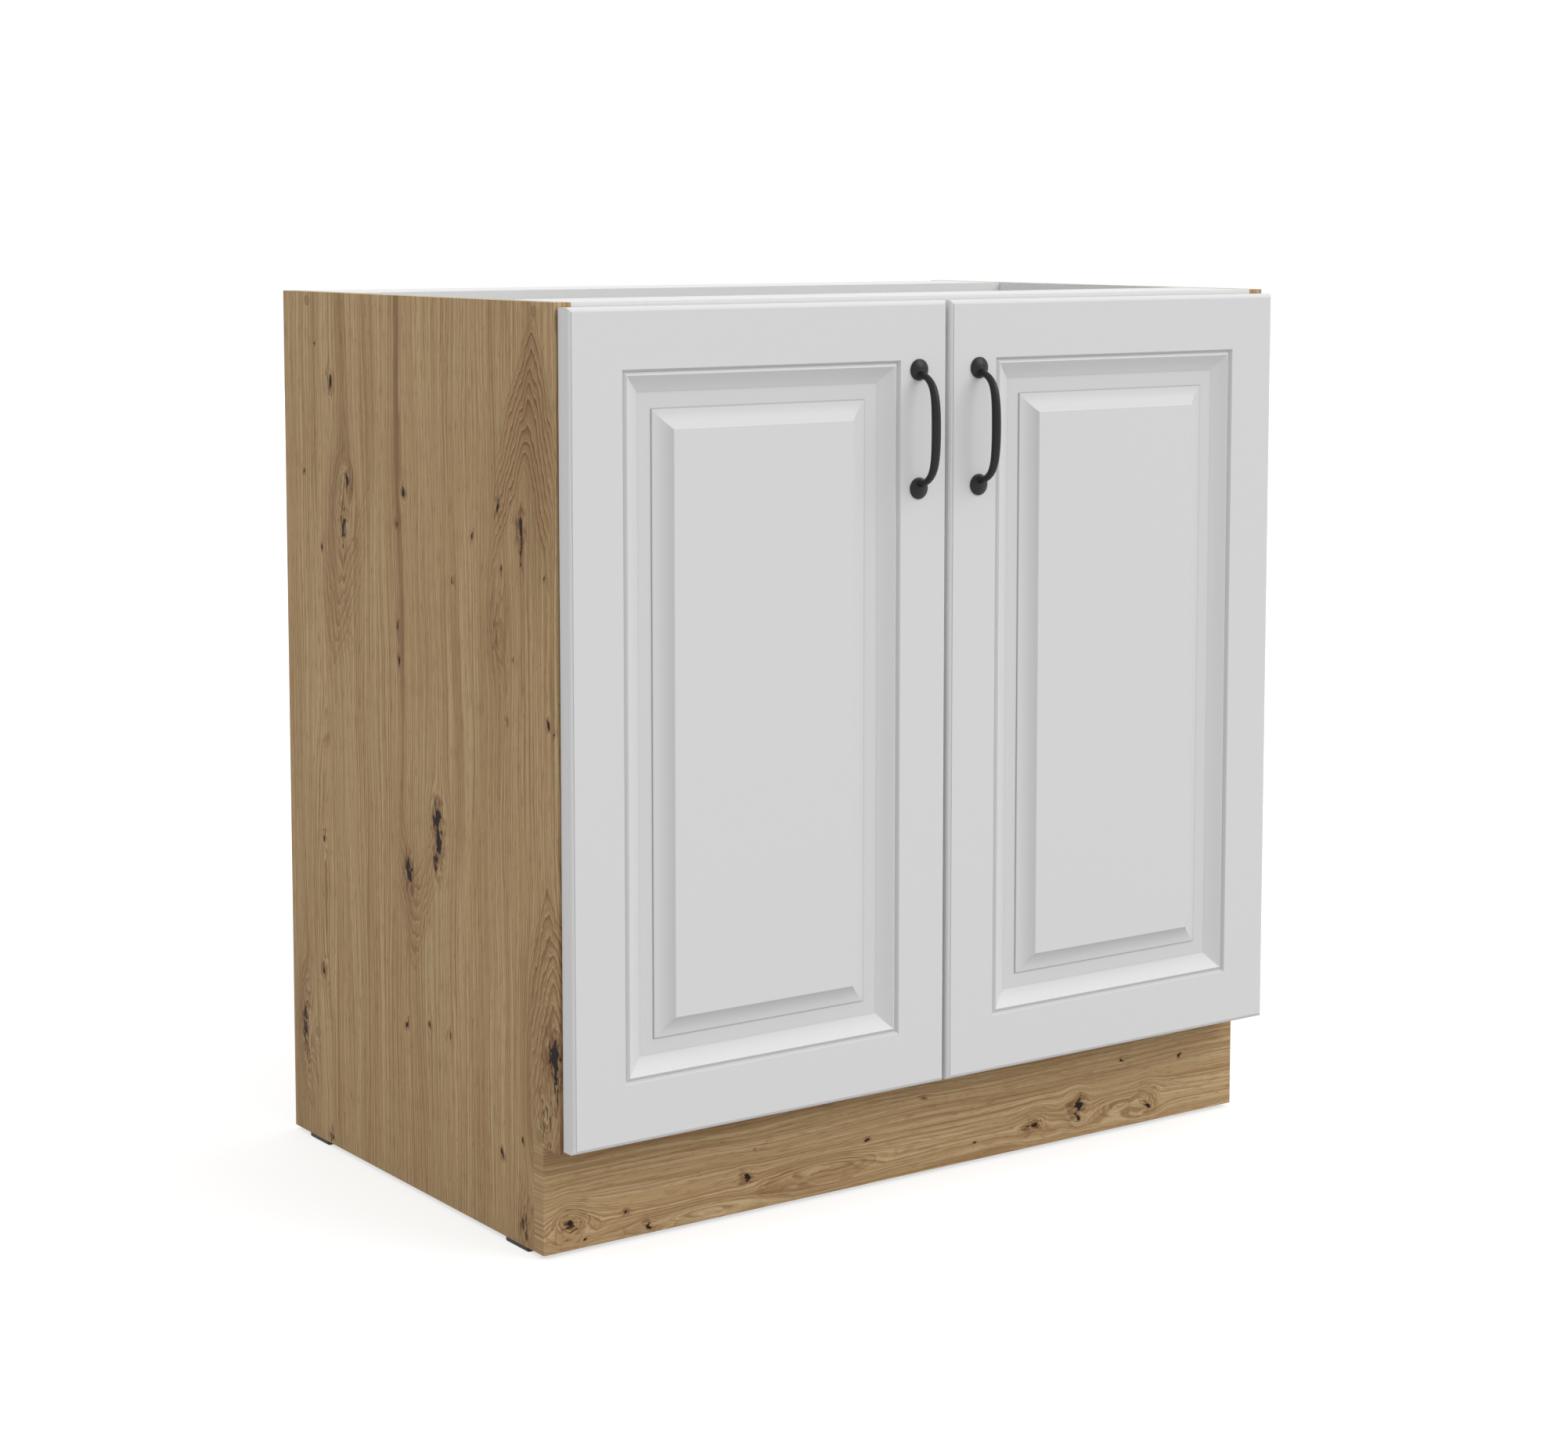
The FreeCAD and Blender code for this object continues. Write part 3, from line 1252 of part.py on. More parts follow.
def cup_screws():
    screws = []
    for index, way in enumerate((-1, 1)):
        place = (cup_screw_offset, cup_screw_half * way)
        shank = barrel(f"cup_shank{index}", cup_screw_radius, -flange_thickness,
                       cup_screw_length + flange_thickness, *place)
        head = barrel(f"cup_head{index}", cup_screw_head_radius, -flange_thickness - cup_screw_head,
                      cup_screw_head, *place)
        screws.append(fuse(f"cup_screw{index}", [shank, head]))
    return screws


def arm_pins():
    front_half = lug_half + lug_thickness
    return [
        rod("rear_pin", (rear_pivot[0], rear_pivot[1], -arm_half), "+z", arm_pin_radius, arm_half * 2),
        rod("front_pin", (front_pivot[0], front_pivot[1], -front_half), "+z", arm_pin_radius, front_half * 2),
    ]


def cup_pins():
    """Two short pins for the outer link plates and one long pin, all flush with the cup's round wall."""
    drum = barrel("pin_drum", cup_bore_radius - cup_play, zero, cup_bore_depth)
    pins = []
    for tag, pivot, low, high in (
        ("above", shallow_pivot, outer_plate_half, cup_bore_radius),
        ("below", shallow_pivot, -cup_bore_radius, -outer_plate_half),
        ("deep", deep_pivot, -cup_bore_radius, cup_bore_radius),
    ):
        pin = doc.addObject("Part::Common", f"cup_pin_{tag}")
        pin.Base = rod(f"cup_pin_{tag}_bar", (pivot[0], pivot[1], low), "+z", cup_pin_radius, high - low)
        pin.Tool = drum
        pins.append(pin)
    return pins


HINGE_PIECES = {
    "hinge_plate": hinge_plate,
    "hinge_arm": hinge_arm,
    "hinge_outer_link": outer_link,
    "hinge_inner_link": inner_link,
    "hinge_cup": hinge_cup,
}
HINGE_FASTENINGS = {
    "hinge_plate_screws": plate_screws,
    "hinge_arm_screws": arm_screws,
    "hinge_arm_pins": arm_pins,
    "hinge_cup_screws": cup_screws,
    "hinge_cup_pins": cup_pins,
}


def at_height(name, pieces, height):
    """The same pieces once more, at the height of one hinge."""
    raised = group(name, pieces)
    bind(raised, Placement__Base__z=height)
    return raised


def hinges():
    """Each piece is made once and used for the lower and the upper hinge."""
    for name, make in HINGE_PIECES.items():
        pieces = make()
        for level, height in hinge_heights.items():
            label = f"{name}_left_{level}"
            node(at_height(f"{label}_group", pieces, height), label)
            mirror_node(label, f"{name}_right_{level}")
    for name, make in HINGE_FASTENINGS.items():
        pieces = make()
        levels = [at_height(f"{name}_{level}", pieces, height) for level, height in hinge_heights.items()]
        if name.startswith("hinge_cup"):
            node(group(f"{name}_left_group", levels), f"{name}_left")
            mirror_node(f"{name}_left", f"{name}_right")
        else:
            both_sides(f"{name}_group", name, levels)


hinges()


def check_and_write():
    """Stop on any failed object or bad shape, then write one file for each sub-part."""
    doc.recompute()
    for thing in doc.Objects:
        if "Invalid" in thing.State or "Error" in thing.State:
            raise RuntimeError(f"{thing.Name} is {thing.State}")
    for label, thing in subparts.items():
        if thing.Shape.isNull() or not thing.Shape.isValid():
            raise RuntimeError(f"{label} has a bad shape")
        if not thing.Shape.Solids:
            raise RuntimeError(f"{label} has no solid")
    for label, thing in subparts.items():
        thing.Shape.exportStep(f"parts/{label}.step")
    box_all = Part.makeCompound([thing.Shape for thing in subparts.values()]).BoundBox
    print(f"{len(subparts)} sub-parts, {box_all.XLength:.1f} x {box_all.YLength:.1f} x {box_all.ZLength:.1f}")


check_and_write()
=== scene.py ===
import math
import bmesh
import bpy
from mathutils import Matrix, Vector


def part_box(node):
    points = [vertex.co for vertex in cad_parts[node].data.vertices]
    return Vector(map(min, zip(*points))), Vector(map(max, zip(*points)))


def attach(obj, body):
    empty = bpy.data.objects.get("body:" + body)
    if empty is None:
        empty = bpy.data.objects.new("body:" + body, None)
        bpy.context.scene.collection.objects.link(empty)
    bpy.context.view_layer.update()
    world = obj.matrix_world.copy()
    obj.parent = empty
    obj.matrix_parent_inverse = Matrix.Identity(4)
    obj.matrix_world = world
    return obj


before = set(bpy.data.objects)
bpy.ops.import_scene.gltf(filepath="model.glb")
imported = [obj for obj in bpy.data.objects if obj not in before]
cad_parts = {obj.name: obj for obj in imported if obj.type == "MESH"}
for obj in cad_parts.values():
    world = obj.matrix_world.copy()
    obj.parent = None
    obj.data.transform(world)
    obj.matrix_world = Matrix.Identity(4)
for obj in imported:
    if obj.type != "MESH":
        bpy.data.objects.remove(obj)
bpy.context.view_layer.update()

# The view: a kitchen base cabinet seen from its front left corner, a little above its top. The camera
# looks down a little and the picture is shifted down for the rest, which keeps upright edges nearly
# upright and still leaves the whole cabinet in the picture when the camera goes round it.
mm = 0.001
photo_width, photo_height = 2003, 1848
focal_pixels = 3942.2
axis_row = 654.3
film_width = 36
camera_place = Vector((-1714.6, -2416.7, 891.7)) * mm
camera_turn = math.radians(35.2294)
camera_dip = math.radians(5.5)

camera_data = bpy.data.cameras.new("photo_view")
camera_data.sensor_width = film_width
camera_data.lens = film_width * focal_pixels / photo_width
camera_data.shift_y = (axis_row - photo_height / 2) / photo_width
camera = bpy.data.objects.new("photo_view", camera_data)
camera.location = camera_place
camera.rotation_euler = (math.radians(90) - camera_dip, 0, -camera_turn)
bpy.context.scene.collection.objects.link(camera)
bpy.context.scene.camera = camera
bpy.context.scene.view_settings.view_transform = "Standard"


# The studio: a pale floor that fades into a white surround, soft light from above on the right of the
# front, and even light from all round, as in a furniture catalogue.
level_strength = 0.57
overhead_strength = 0.96
key_strength = 1.03
key_spread = math.radians(40)
key_way = Vector((0.50, -0.65, 0.57))
floor_reach = 12000 * mm
floor_grey = "B4B4B4"
floor_grey_seen = "C4C4C4"
floor_glow_seen = 0.62
white = "FFFFFF"


def linear(hex_colour):
    """Turn an sRGB hex value such as B89E78 into the linear colour that a shader takes."""
    parts = [int(hex_colour[start:start + 2], 16) / 255 for start in (0, 2, 4)]
    return [part / 12.92 if part <= 0.04045 else ((part + 0.055) / 1.055) ** 2.4 for part in parts] + [1]


def feed(tree, node, inputs):
    """Give a node's inputs, by name or number, a value, a socket, or another node, which stands for the
    first of its outputs that is in use."""
    for key, value in inputs.items():
        if isinstance(value, bpy.types.Node):
            value = next(output for output in value.outputs if output.enabled)
        if isinstance(value, bpy.types.NodeSocket):
            tree.links.new(value, node.inputs[key])
        else:
            node.inputs[key].default_value = value


def add_node(tree, kind, inputs=(), stops=(), **settings):
    """Add one node with its settings, a colour ramp's stops as (place, hex colour), and its inputs, which
    are listed from the first one on or given by name and number."""
    node = tree.nodes.new(kind)
    for name, value in settings.items():
        setattr(node, name, value)
    for number, (place, hex_colour) in enumerate(stops):
        stop = node.color_ramp.elements[number] if number < 2 else node.color_ramp.elements.new(place)
        stop.position = place
        stop.color = linear(hex_colour)
    feed(tree, node, inputs if isinstance(inputs, dict) else dict(enumerate(inputs)))
    return node


def seen_rays(tree):
    """1 for what the camera sees, straight or in a gloss or through something clear, and 0 for light."""
    path = add_node(tree, "ShaderNodeLightPath").outputs
    seen = add_node(tree, "ShaderNodeMath", (path["Is Camera Ray"], path["Is Glossy Ray"]),
                    operation="MAXIMUM")
    return add_node(tree, "ShaderNodeMath", (seen, path["Is Transmission Ray"]), operation="MAXIMUM")


world = bpy.data.worlds.new("studio")
bpy.context.scene.world = world
world.use_nodes = True
tree = world.node_tree
tree.nodes.clear()
way = add_node(tree, "ShaderNodeSeparateXYZ", (add_node(tree, "ShaderNodeTexCoord").outputs["Generated"],))
softbox = add_node(tree, "ShaderNodeMapRange",
                   (way.outputs["Z"], 0.0, 1.0, level_strength, overhead_strength))
around = add_node(tree, "ShaderNodeBackground", (linear(white), softbox))
surround = add_node(tree, "ShaderNodeBackground", (linear(white), 1))
either = add_node(tree, "ShaderNodeMixShader", (seen_rays(tree), around, surround))
add_node(tree, "ShaderNodeOutputWorld", (either,))

key_data = bpy.data.lights.new("key_light", "SUN")
key_data.energy = key_strength
key_data.angle = key_spread
key = bpy.data.objects.new("key_light", key_data)
key.rotation_euler = key_way.to_track_quat("Z", "Y").to_euler()
bpy.context.scene.collection.objects.link(key)

floor_mesh = bpy.data.meshes.new("studio_floor")
floor_mesh.from_pydata([(-floor_reach, -floor_reach, 0), (floor_reach, -floor_reach, 0),
                        (floor_reach, floor_reach, 0), (-floor_reach, floor_reach, 0)], [], [(0, 1, 2, 3)])
floor = bpy.data.objects.new("studio_floor", floor_mesh)
bpy.context.scene.collection.objects.link(floor)
finish = bpy.data.materials.new("white_studio_floor")
finish.use_nodes = True
tree = finish.node_tree
tree.nodes.clear()
matt = add_node(tree, "ShaderNodeBsdfDiffuse", (linear(floor_grey),))
bright = add_node(tree, "ShaderNodeBsdfDiffuse", (linear(floor_grey_seen),))
glow = add_node(tree, "ShaderNodeEmission", (linear(white), floor_glow_seen))
lifted = add_node(tree, "ShaderNodeAddShader", (bright, glow))
shown = add_node(tree, "ShaderNodeMixShader", (seen_rays(tree), matt, lifted))
add_node(tree, "ShaderNodeOutputMaterial", (shown,))
floor_mesh.materials.append(finish)


# Side panels and plinth: 16 mm chipboard with a printed oak face outside, a white face inside and oak
# edge bands. The print shows a knotty plank: pale brown with darker bands, dark heartwood streaks,
# small knots that part the grain, and pointed growth rings.
board_thickness = 16 * mm
face_depth = 0.3 * mm
band_depth = 0.4 * mm
melamine_white = "EAEAEA"
chip_dark, chip_light = "AD9470", "D8C8A8"
chip_width = 2.4
side_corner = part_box("side_panel_left")[0]
front_edge = side_corner.y
outer_face = -side_corner.x
noise_middle = 0.5


def start_finish(name):
    """A new material, the tree in it, its Principled shader, and each point's place in metres."""
    finish = bpy.data.materials.new(name)
    finish.use_nodes = True
    tree = finish.node_tree
    place = add_node(tree, "ShaderNodeTexCoord").outputs["Object"]
    return finish, tree, tree.nodes["Principled BSDF"], place


def dress(finish, *names):
    """Give CAD nodes a finish of their own."""
    for name in names:
        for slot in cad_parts[name].material_slots:
            slot.material = finish


def cloud(tree, where, across, along, detail):
    """Noise in blots that are so many millimetres across and along the grain."""
    scaled = add_node(tree, "ShaderNodeVectorMath", (where, (1 / across, 1 / along, 1)), operation="MULTIPLY")
    return add_node(tree, "ShaderNodeTexNoise", {"Vector": scaled, "Scale": 1.0, "Detail": detail},
                    noise_dimensions="2D")


def overlap(tree, *masks):
    """Multiply masks. One that is given as (value, low, high, start, end) runs smoothly from start to end
    while the value goes from low to high."""
    joined = None
    for mask in masks:
        if isinstance(mask, tuple):
            mask = add_node(tree, "ShaderNodeMapRange", mask, interpolation_type="SMOOTHSTEP")
        if joined is None:
            joined = mask
        else:
            joined = add_node(tree, "ShaderNodeMath", (joined, mask), operation="MULTIPLY")
    return joined


def lay_tone(tree, colour, tone, *masks):
    """Lay one tone over the print, as thick as all the masks together allow. Inputs 6 and 7 of a mix of
    colours are its two colours, here and below."""
    return add_node(tree, "ShaderNodeMix", {"Factor": overlap(tree, *masks), 6: colour, 7: linear(tone)},
                    data_type="RGBA")


def knot_group():
    """How one knot parts the grain about it and darkens it. The state holds the grain's shift in mm, the
    darkness of the core and that of the stain round it, each gathered from knot to knot. The reaches are
    counted in the knot's own radii."""
    pull_reach = (0.6, 5.0)
    cone_reach = (0.3, 2.6)
    core_reach = (0.45, 1.05)
    stain_reach = (0.8, 2.8)
    bend_share = 0.05
    group = bpy.data.node_groups.new("knot", "ShaderNodeTree")
    for name, kind in (("Point", "Vector"), ("State", "Vector"), ("Centre", "Vector"), ("Size", "Vector"),
                       ("Pull", "Float"), ("Loops", "Float"), ("Dark", "Float"), ("Rough", "Float")):
        group.interface.new_socket(name=name, in_out="INPUT", socket_type="NodeSocket" + kind)
    group.interface.new_socket(name="State", in_out="OUTPUT", socket_type="NodeSocketVector")
    given = add_node(group, "NodeGroupInput").outputs
    bent = add_node(group, "ShaderNodeVectorMath", (given["State"], (bend_share, 0, 0), given["Point"]),
                    operation="MULTIPLY_ADD")
    away = add_node(group, "ShaderNodeVectorMath", (bent, given["Centre"]), operation="SUBTRACT")
    scaled = add_node(group, "ShaderNodeVectorMath", (away, given["Size"]), operation="DIVIDE")
    radius = add_node(group, "ShaderNodeVectorMath", (scaled,), operation="LENGTH")
    fade = add_node(group, "ShaderNodeMapRange", (radius, *pull_reach, 1.0, 0.0),
                    interpolation_type="SMOOTHERSTEP")
    pull = add_node(group, "ShaderNodeMath", (fade, given["Pull"]), operation="MULTIPLY")
    aside = add_node(group, "ShaderNodeSeparateXYZ", (away,)).outputs["X"]
    parting = add_node(group, "ShaderNodeMath", (aside, pull), operation="MULTIPLY")
    cone = add_node(group, "ShaderNodeMapRange", (radius, *cone_reach, given["Loops"], 0.0))
    shift = add_node(group, "ShaderNodeMath", (parting, cone), operation="ADD")
    ragged = add_node(group, "ShaderNodeMath", (radius, given["Rough"]), operation="ADD")
    core = add_node(group, "ShaderNodeMapRange", (ragged, *core_reach, given["Dark"], 0.0))
    stain = add_node(group, "ShaderNodeMapRange", (ragged, *stain_reach, given["Dark"], 0.0),
                     interpolation_type="SMOOTHSTEP")
    before = add_node(group, "ShaderNodeSeparateXYZ", (given["State"],)).outputs
    moved = add_node(group, "ShaderNodeMath", (before["X"], shift), operation="SUBTRACT")
    deepest = add_node(group, "ShaderNodeMath", (before["Y"], core), operation="MAXIMUM")
    darkest = add_node(group, "ShaderNodeMath", (before["Z"], stain), operation="MAXIMUM")
    after = add_node(group, "ShaderNodeCombineXYZ", (moved, deepest, darkest))
    add_node(group, "NodeGroupOutput", {"State": after})
    return group


one_knot = knot_group()


def pass_knots(tree, point, knots, arcs):
    """Lead the grain past each round figure and each knot. Gives the point, torn a little for ragged
    rims, and the state behind the last knot."""
    tear = (4.0, 16.0, 0)
    crack_depth = 2.6
    arc_pull = 0.88
    loop_share = 1.6
    drift = cloud(tree, point, 15, 44, 2).outputs["Color"]
    drift = add_node(tree, "ShaderNodeVectorMath", (drift, [noise_middle] * 3), operation="SUBTRACT")
    drift = add_node(tree, "ShaderNodeVectorMath", (drift, tear), operation="MULTIPLY")
    torn = add_node(tree, "ShaderNodeVectorMath", (point, drift), operation="ADD")
    cracks = add_node(tree, "ShaderNodeMath", (cloud(tree, torn, 4.2, 9, 2), noise_middle),
                      operation="SUBTRACT")
    cracks = add_node(tree, "ShaderNodeMath", (cracks, crack_depth), operation="MULTIPLY")
    figures = [(across, along, half_width, half_length, arc_pull, loops, 0.0)
               for across, along, half_width, half_length, loops in arcs]
    figures += [(across, along, half_width, half_length, pull, half_width * loop_share, dark)
                for across, along, half_width, half_length, pull, dark in knots]
    state = (0, 0, 0)
    for across, along, half_width, half_length, pull, loops, dark in figures:
        state = add_node(tree, "ShaderNodeGroup", {
            "Point": torn, "State": state, "Centre": (across, along, 0), "Size": (half_width, half_length, 1),
            "Pull": pull, "Loops": loops, "Dark": dark, "Rough": cracks}, node_tree=one_knot)
    return torn, state


def draw_rings(tree, grain, parting):
    """The ground, and the growth rings: contours of one height that rises across the plank, shown most
    where knots part the grain. A ring's dark line swells slowly and ends sharply at a pale edge."""
    ring_width = 5.2
    ring_wander = 3.0
    light_share = 0.45
    ground_dark, ground_light = "B5936A", "C4A77B"
    ring_dark, ring_light = "86623D", "DAC39A"
    colour = add_node(tree, "ShaderNodeValToRGB", (cloud(tree, grain, 30, 900, 2),),
                      stops=[(0.24, ground_dark), (0.74, ground_light)])
    across = add_node(tree, "ShaderNodeSeparateXYZ", (grain,)).outputs["X"]
    height = add_node(tree, "ShaderNodeMath", (across, 1 / ring_width), operation="MULTIPLY")
    height = add_node(tree, "ShaderNodeMath", (cloud(tree, grain, 22, 500, 1), ring_wander, height),
                      operation="MULTIPLY_ADD")
    rings = add_node(tree, "ShaderNodeMath", (height,), operation="FRACT")
    banded = overlap(tree, (cloud(tree, grain, 44, 700, 1), 0.42, 0.62, 0.05, 0.34))
    parted = add_node(tree, "ShaderNodeMath", (parting,), operation="ABSOLUTE")
    shown = add_node(tree, "ShaderNodeMath", (banded, overlap(tree, (parted, 2.0, 16.0, 0.0, 0.66))),
                     operation="MAXIMUM")
    colour = lay_tone(tree, colour, ring_dark, (rings, 0.35, 0.80, 0.0, 1.0), (rings, 0.88, 1.0, 1.0, 0.0),
                      shown)
    return lay_tone(tree, colour, ring_light, (rings, 0.26, 0.0, 0.0, 1.0), shown, light_share)


def draw_fibres(tree, colour, fibre_point, grain):
    """Dark and light fibres and short pores. They are drawn 2 to 6 mm apart, several times coarser than
    real ones, which would be too fine to show."""
    fibre_dark, fibre_light, pore_brown = "8F6B45", "DAC39A", "866240"
    dark_fibres = cloud(tree, fibre_point, 1.8, 300, 2)
    light_fibres = cloud(tree, fibre_point, 2.1, 340, 2)
    pores = cloud(tree, grain, 1.5, 24, 2)
    colour = lay_tone(tree, colour, fibre_dark, (dark_fibres, 0.50, 0.66, 0.0, 0.52))
    colour = lay_tone(tree, colour, fibre_light, (light_fibres, 0.50, 0.36, 0.0, 0.50))
    return lay_tone(tree, colour, pore_brown, (pores, 0.54, 0.72, 0.0, 0.42))


def draw_arches(tree, colour, point, peaks):
    """Growth rings cut near the middle of the tree: nested arches, pointed but a little rounded, whose
    lines wobble and lean. Between two arches runs a second set of finer lines."""
    wobble_reach = 30.0
    rounding = 40.0
    fine_lines = 2.3
    before_first, after_first, before_last, after_last = 12, 16, 24, 10
    side_share = 0.45
    arch_ground, arch_fibre, arch_dark, arch_light = "B6926A", "8A6541", "7A5535", "D6BB90"
    spot = add_node(tree, "ShaderNodeSeparateXYZ", (point,)).outputs
    wobble = add_node(tree, "ShaderNodeMath", (cloud(tree, point, 16, 50, 3), noise_middle),
                      operation="SUBTRACT")
    wobble = add_node(tree, "ShaderNodeMath", (wobble, wobble_reach), operation="MULTIPLY")
    for across, first, last, half_width, steep, lean, pitch, strength in peaks:
        upward = 1 if last > first else -1
        low, high = first * upward, last * upward
        middle = add_node(tree, "ShaderNodeMath", (spot["Y"], lean, across - lean * first),
                          operation="MULTIPLY_ADD")
        off = add_node(tree, "ShaderNodeMath", (spot["X"], middle), operation="SUBTRACT")
        off = add_node(tree, "ShaderNodeMath", (off,), operation="ABSOLUTE")
        rounded = add_node(tree, "ShaderNodeMath", (off, off, rounding), operation="MULTIPLY_ADD")
        rounded = add_node(tree, "ShaderNodeMath", (rounded,), operation="SQRT")
        level = add_node(tree, "ShaderNodeMath", (rounded, steep, wobble), operation="MULTIPLY_ADD")
        level = add_node(tree, "ShaderNodeMath", (spot["Y"], upward, level), operation="MULTIPLY_ADD")
        within = overlap(tree, (level, low - before_first, low + after_first, 0.0, 1.0),
                         (level, high - before_last, high + after_last, strength, 0.0),
                         (off, half_width * side_share, half_width, 1.0, 0.0))
        arch = add_node(tree, "ShaderNodeMath", (level, 1 / pitch), operation="MULTIPLY")
        arch = add_node(tree, "ShaderNodeMath", (arch,), operation="FRACT")
        fine_arch = add_node(tree, "ShaderNodeMath", (level, fine_lines / pitch), operation="MULTIPLY")
        fine_arch = add_node(tree, "ShaderNodeMath", (fine_arch,), operation="FRACT")
        colour = lay_tone(tree, colour, arch_ground, within, 0.62)
        colour = lay_tone(tree, colour, arch_fibre, within, (fine_arch, 0.2, 0.9, 0.0, 0.35))
        colour = lay_tone(tree, colour, arch_dark, within, (arch, 0.45, 0.88, 0.0, 0.78),
                          (arch, 0.92, 1.0, 1.0, 0.0))
        colour = lay_tone(tree, colour, arch_light, within, (arch, 0.0, 0.22, 0.55, 0.0))
    return colour


def draw_streaks(tree, colour, point, grain, streaks):
    """Dark heartwood, in bands that follow the grain and fade out at both ends."""
    fade_length = 60
    uneven_share, full_share, none_share = 1.1, 0.3, 1.7
    heartwood = "7C5838"
    along = add_node(tree, "ShaderNodeSeparateXYZ", (point,)).outputs["Y"]
    aside = add_node(tree, "ShaderNodeSeparateXYZ", (grain,)).outputs["X"]
    uneven = cloud(tree, grain, 9, 110, 3)
    for across, low, high, half_width, dark in streaks:
        off = add_node(tree, "ShaderNodeMath", (aside, across), operation="SUBTRACT")
        off = add_node(tree, "ShaderNodeMath", (off,), operation="ABSOLUTE")
        off = add_node(tree, "ShaderNodeMath", (uneven, half_width * uneven_share, off),
                       operation="MULTIPLY_ADD")
        colour = lay_tone(tree, colour, heartwood,
                          (off, half_width * full_share, half_width * none_share, dark, 0.0),
                          (along, low - fade_length, low + fade_length, 0.0, 1.0),
                          (along, high - fade_length, high + fade_length, 1.0, 0.0))
    return colour


def draw_knots(tree, colour, torn, core, stain):
    """The knots themselves: a brown stain, a dark ragged rim and a nearly black heart."""
    stain_flecks, stain_share = 1.3, 0.60
    core_flecks = 0.7
    stain_brown, rim_brown, heart_black = "7A5438", "4B311F", "160E09"
    flecks = add_node(tree, "ShaderNodeMath", (cloud(tree, torn, 2.8, 11, 3), noise_middle),
                      operation="SUBTRACT")
    stained = add_node(tree, "ShaderNodeMath", (stain, stain_share), operation="MULTIPLY")
    stained = add_node(tree, "ShaderNodeMath", (flecks, stain_flecks, stained), operation="MULTIPLY_ADD")
    ragged = add_node(tree, "ShaderNodeMath", (flecks, core_flecks, core), operation="MULTIPLY_ADD")
    colour = lay_tone(tree, colour, stain_brown, (stained, 0.12, 0.60, 0.0, 0.70))
    colour = lay_tone(tree, colour, rim_brown, (ragged, 0.25, 0.50, 0.0, 0.90))
    return lay_tone(tree, colour, heart_black, (ragged, 0.45, 0.70, 0.0, 0.96))


def oak_print(tree, point, knots, streaks, arcs, peaks):
    """The printed plank's colour. Point is (across, along) in mm, and so are all sizes of the print."""
    sway_reach = 16.0
    fibre_share = 0.45
    torn, state = pass_knots(tree, point, knots, arcs)
    parting, core, stain = add_node(tree, "ShaderNodeSeparateXYZ", (state,)).outputs
    sway = add_node(tree, "ShaderNodeMath", (cloud(tree, point, 70, 300, 2), noise_middle),
                    operation="SUBTRACT")
    sway = add_node(tree, "ShaderNodeMath", (sway, sway_reach), operation="MULTIPLY")
    shift = add_node(tree, "ShaderNodeMath", (sway, parting), operation="ADD")
    shift = add_node(tree, "ShaderNodeCombineXYZ", (shift, 0.0, 0.0))
    grain = add_node(tree, "ShaderNodeVectorMath", (point, shift), operation="ADD")
    fibre_shift = add_node(tree, "ShaderNodeMath", (parting, fibre_share, sway), operation="MULTIPLY_ADD")
    fibre_shift = add_node(tree, "ShaderNodeCombineXYZ", (fibre_shift, 0.0, 0.0))
    fibre_point = add_node(tree, "ShaderNodeVectorMath", (point, fibre_shift), operation="ADD")
    colour = draw_rings(tree, grain, parting)
    colour = draw_fibres(tree, colour, fibre_point, grain)
    colour = draw_arches(tree, colour, point, peaks)
    colour = draw_streaks(tree, colour, point, grain, streaks)
    return draw_knots(tree, colour, torn, core, stain)


# Knots: across, along, half width, half length, pull on the grain, darkness. All places are in mm from
# the front edge and the floor, and on the plinth from its lower edge and the cabinet's left face.
side_knots = [
    (407, 737, 4, 7, 0.75, 0.75), (374, 647, 4, 6, 0.75, 0.8), (383, 606, 5, 20, 0.7, 0.60),
    (266, 642, 3, 5, 0.7, 0.8), (278, 618, 2.5, 3, 0.6, 0.8), (97, 644, 3.2, 7, 0.6, 0.8),
    (58, 628, 5, 9, 0.75, 0.9), (57, 612, 2.5, 14, 0.3, 0.6), (142, 611, 2.6, 3, 0.7, 0.7),
    (100, 534, 9, 22, 0.5, 0.28), (209, 355, 7, 12, 0.75, 0.9), (206, 335, 6, 16, 0.6, 0.95),
    (212, 317, 4, 10, 0.4, 0.8), (263, 296, 6, 11, 0.8, 0.9), (430, 304, 2.5, 4, 0.8, 0.8),
    (437, 171, 3.5, 5, 0.8, 0.85), (476, 108, 5, 26, 0.7, 0.6), (270, 152, 2.6, 4, 0.7, 0.75),
    (228, 162, 2, 3, 0.6, 0.6), (190, 161, 3.4, 4, 0.7, 0.35), (9, 183, 9, 15, 0.7, 0.95),
    (6, 164, 3, 16, 0.5, 0.9), (22, 128, 11, 22, 0.6, 0.35), (98, 76, 2.8, 4, 0.6, 0.85),
    (62, 98, 1.6, 3, 0.5, 0.8), (425, 13, 4, 6, 0.6, 0.6), (60, 26, 8, 16, 0.5, 0.4),
    (438, 772, 1.8, 2, 0.4, 0.6), (463, 649, 1.8, 3, 0.4, 0.7), (427, 580, 1.6, 3, 0.4, 0.7),
    (178, 572, 3, 5, 0.4, 0.35), (92, 588, 1.6, 2.5, 0.4, 0.8), (20, 589, 1.6, 2.5, 0.4, 0.8),
    (73, 513, 1.6, 2.5, 0.4, 0.8), (15, 466, 2.4, 4, 0.5, 0.85), (5, 457, 2, 3, 0.4, 0.8),
    (84, 462, 1.8, 3, 0.4, 0.8), (278, 520, 2.4, 6, 0.4, 0.55), (277, 490, 2.2, 5, 0.4, 0.6),
]
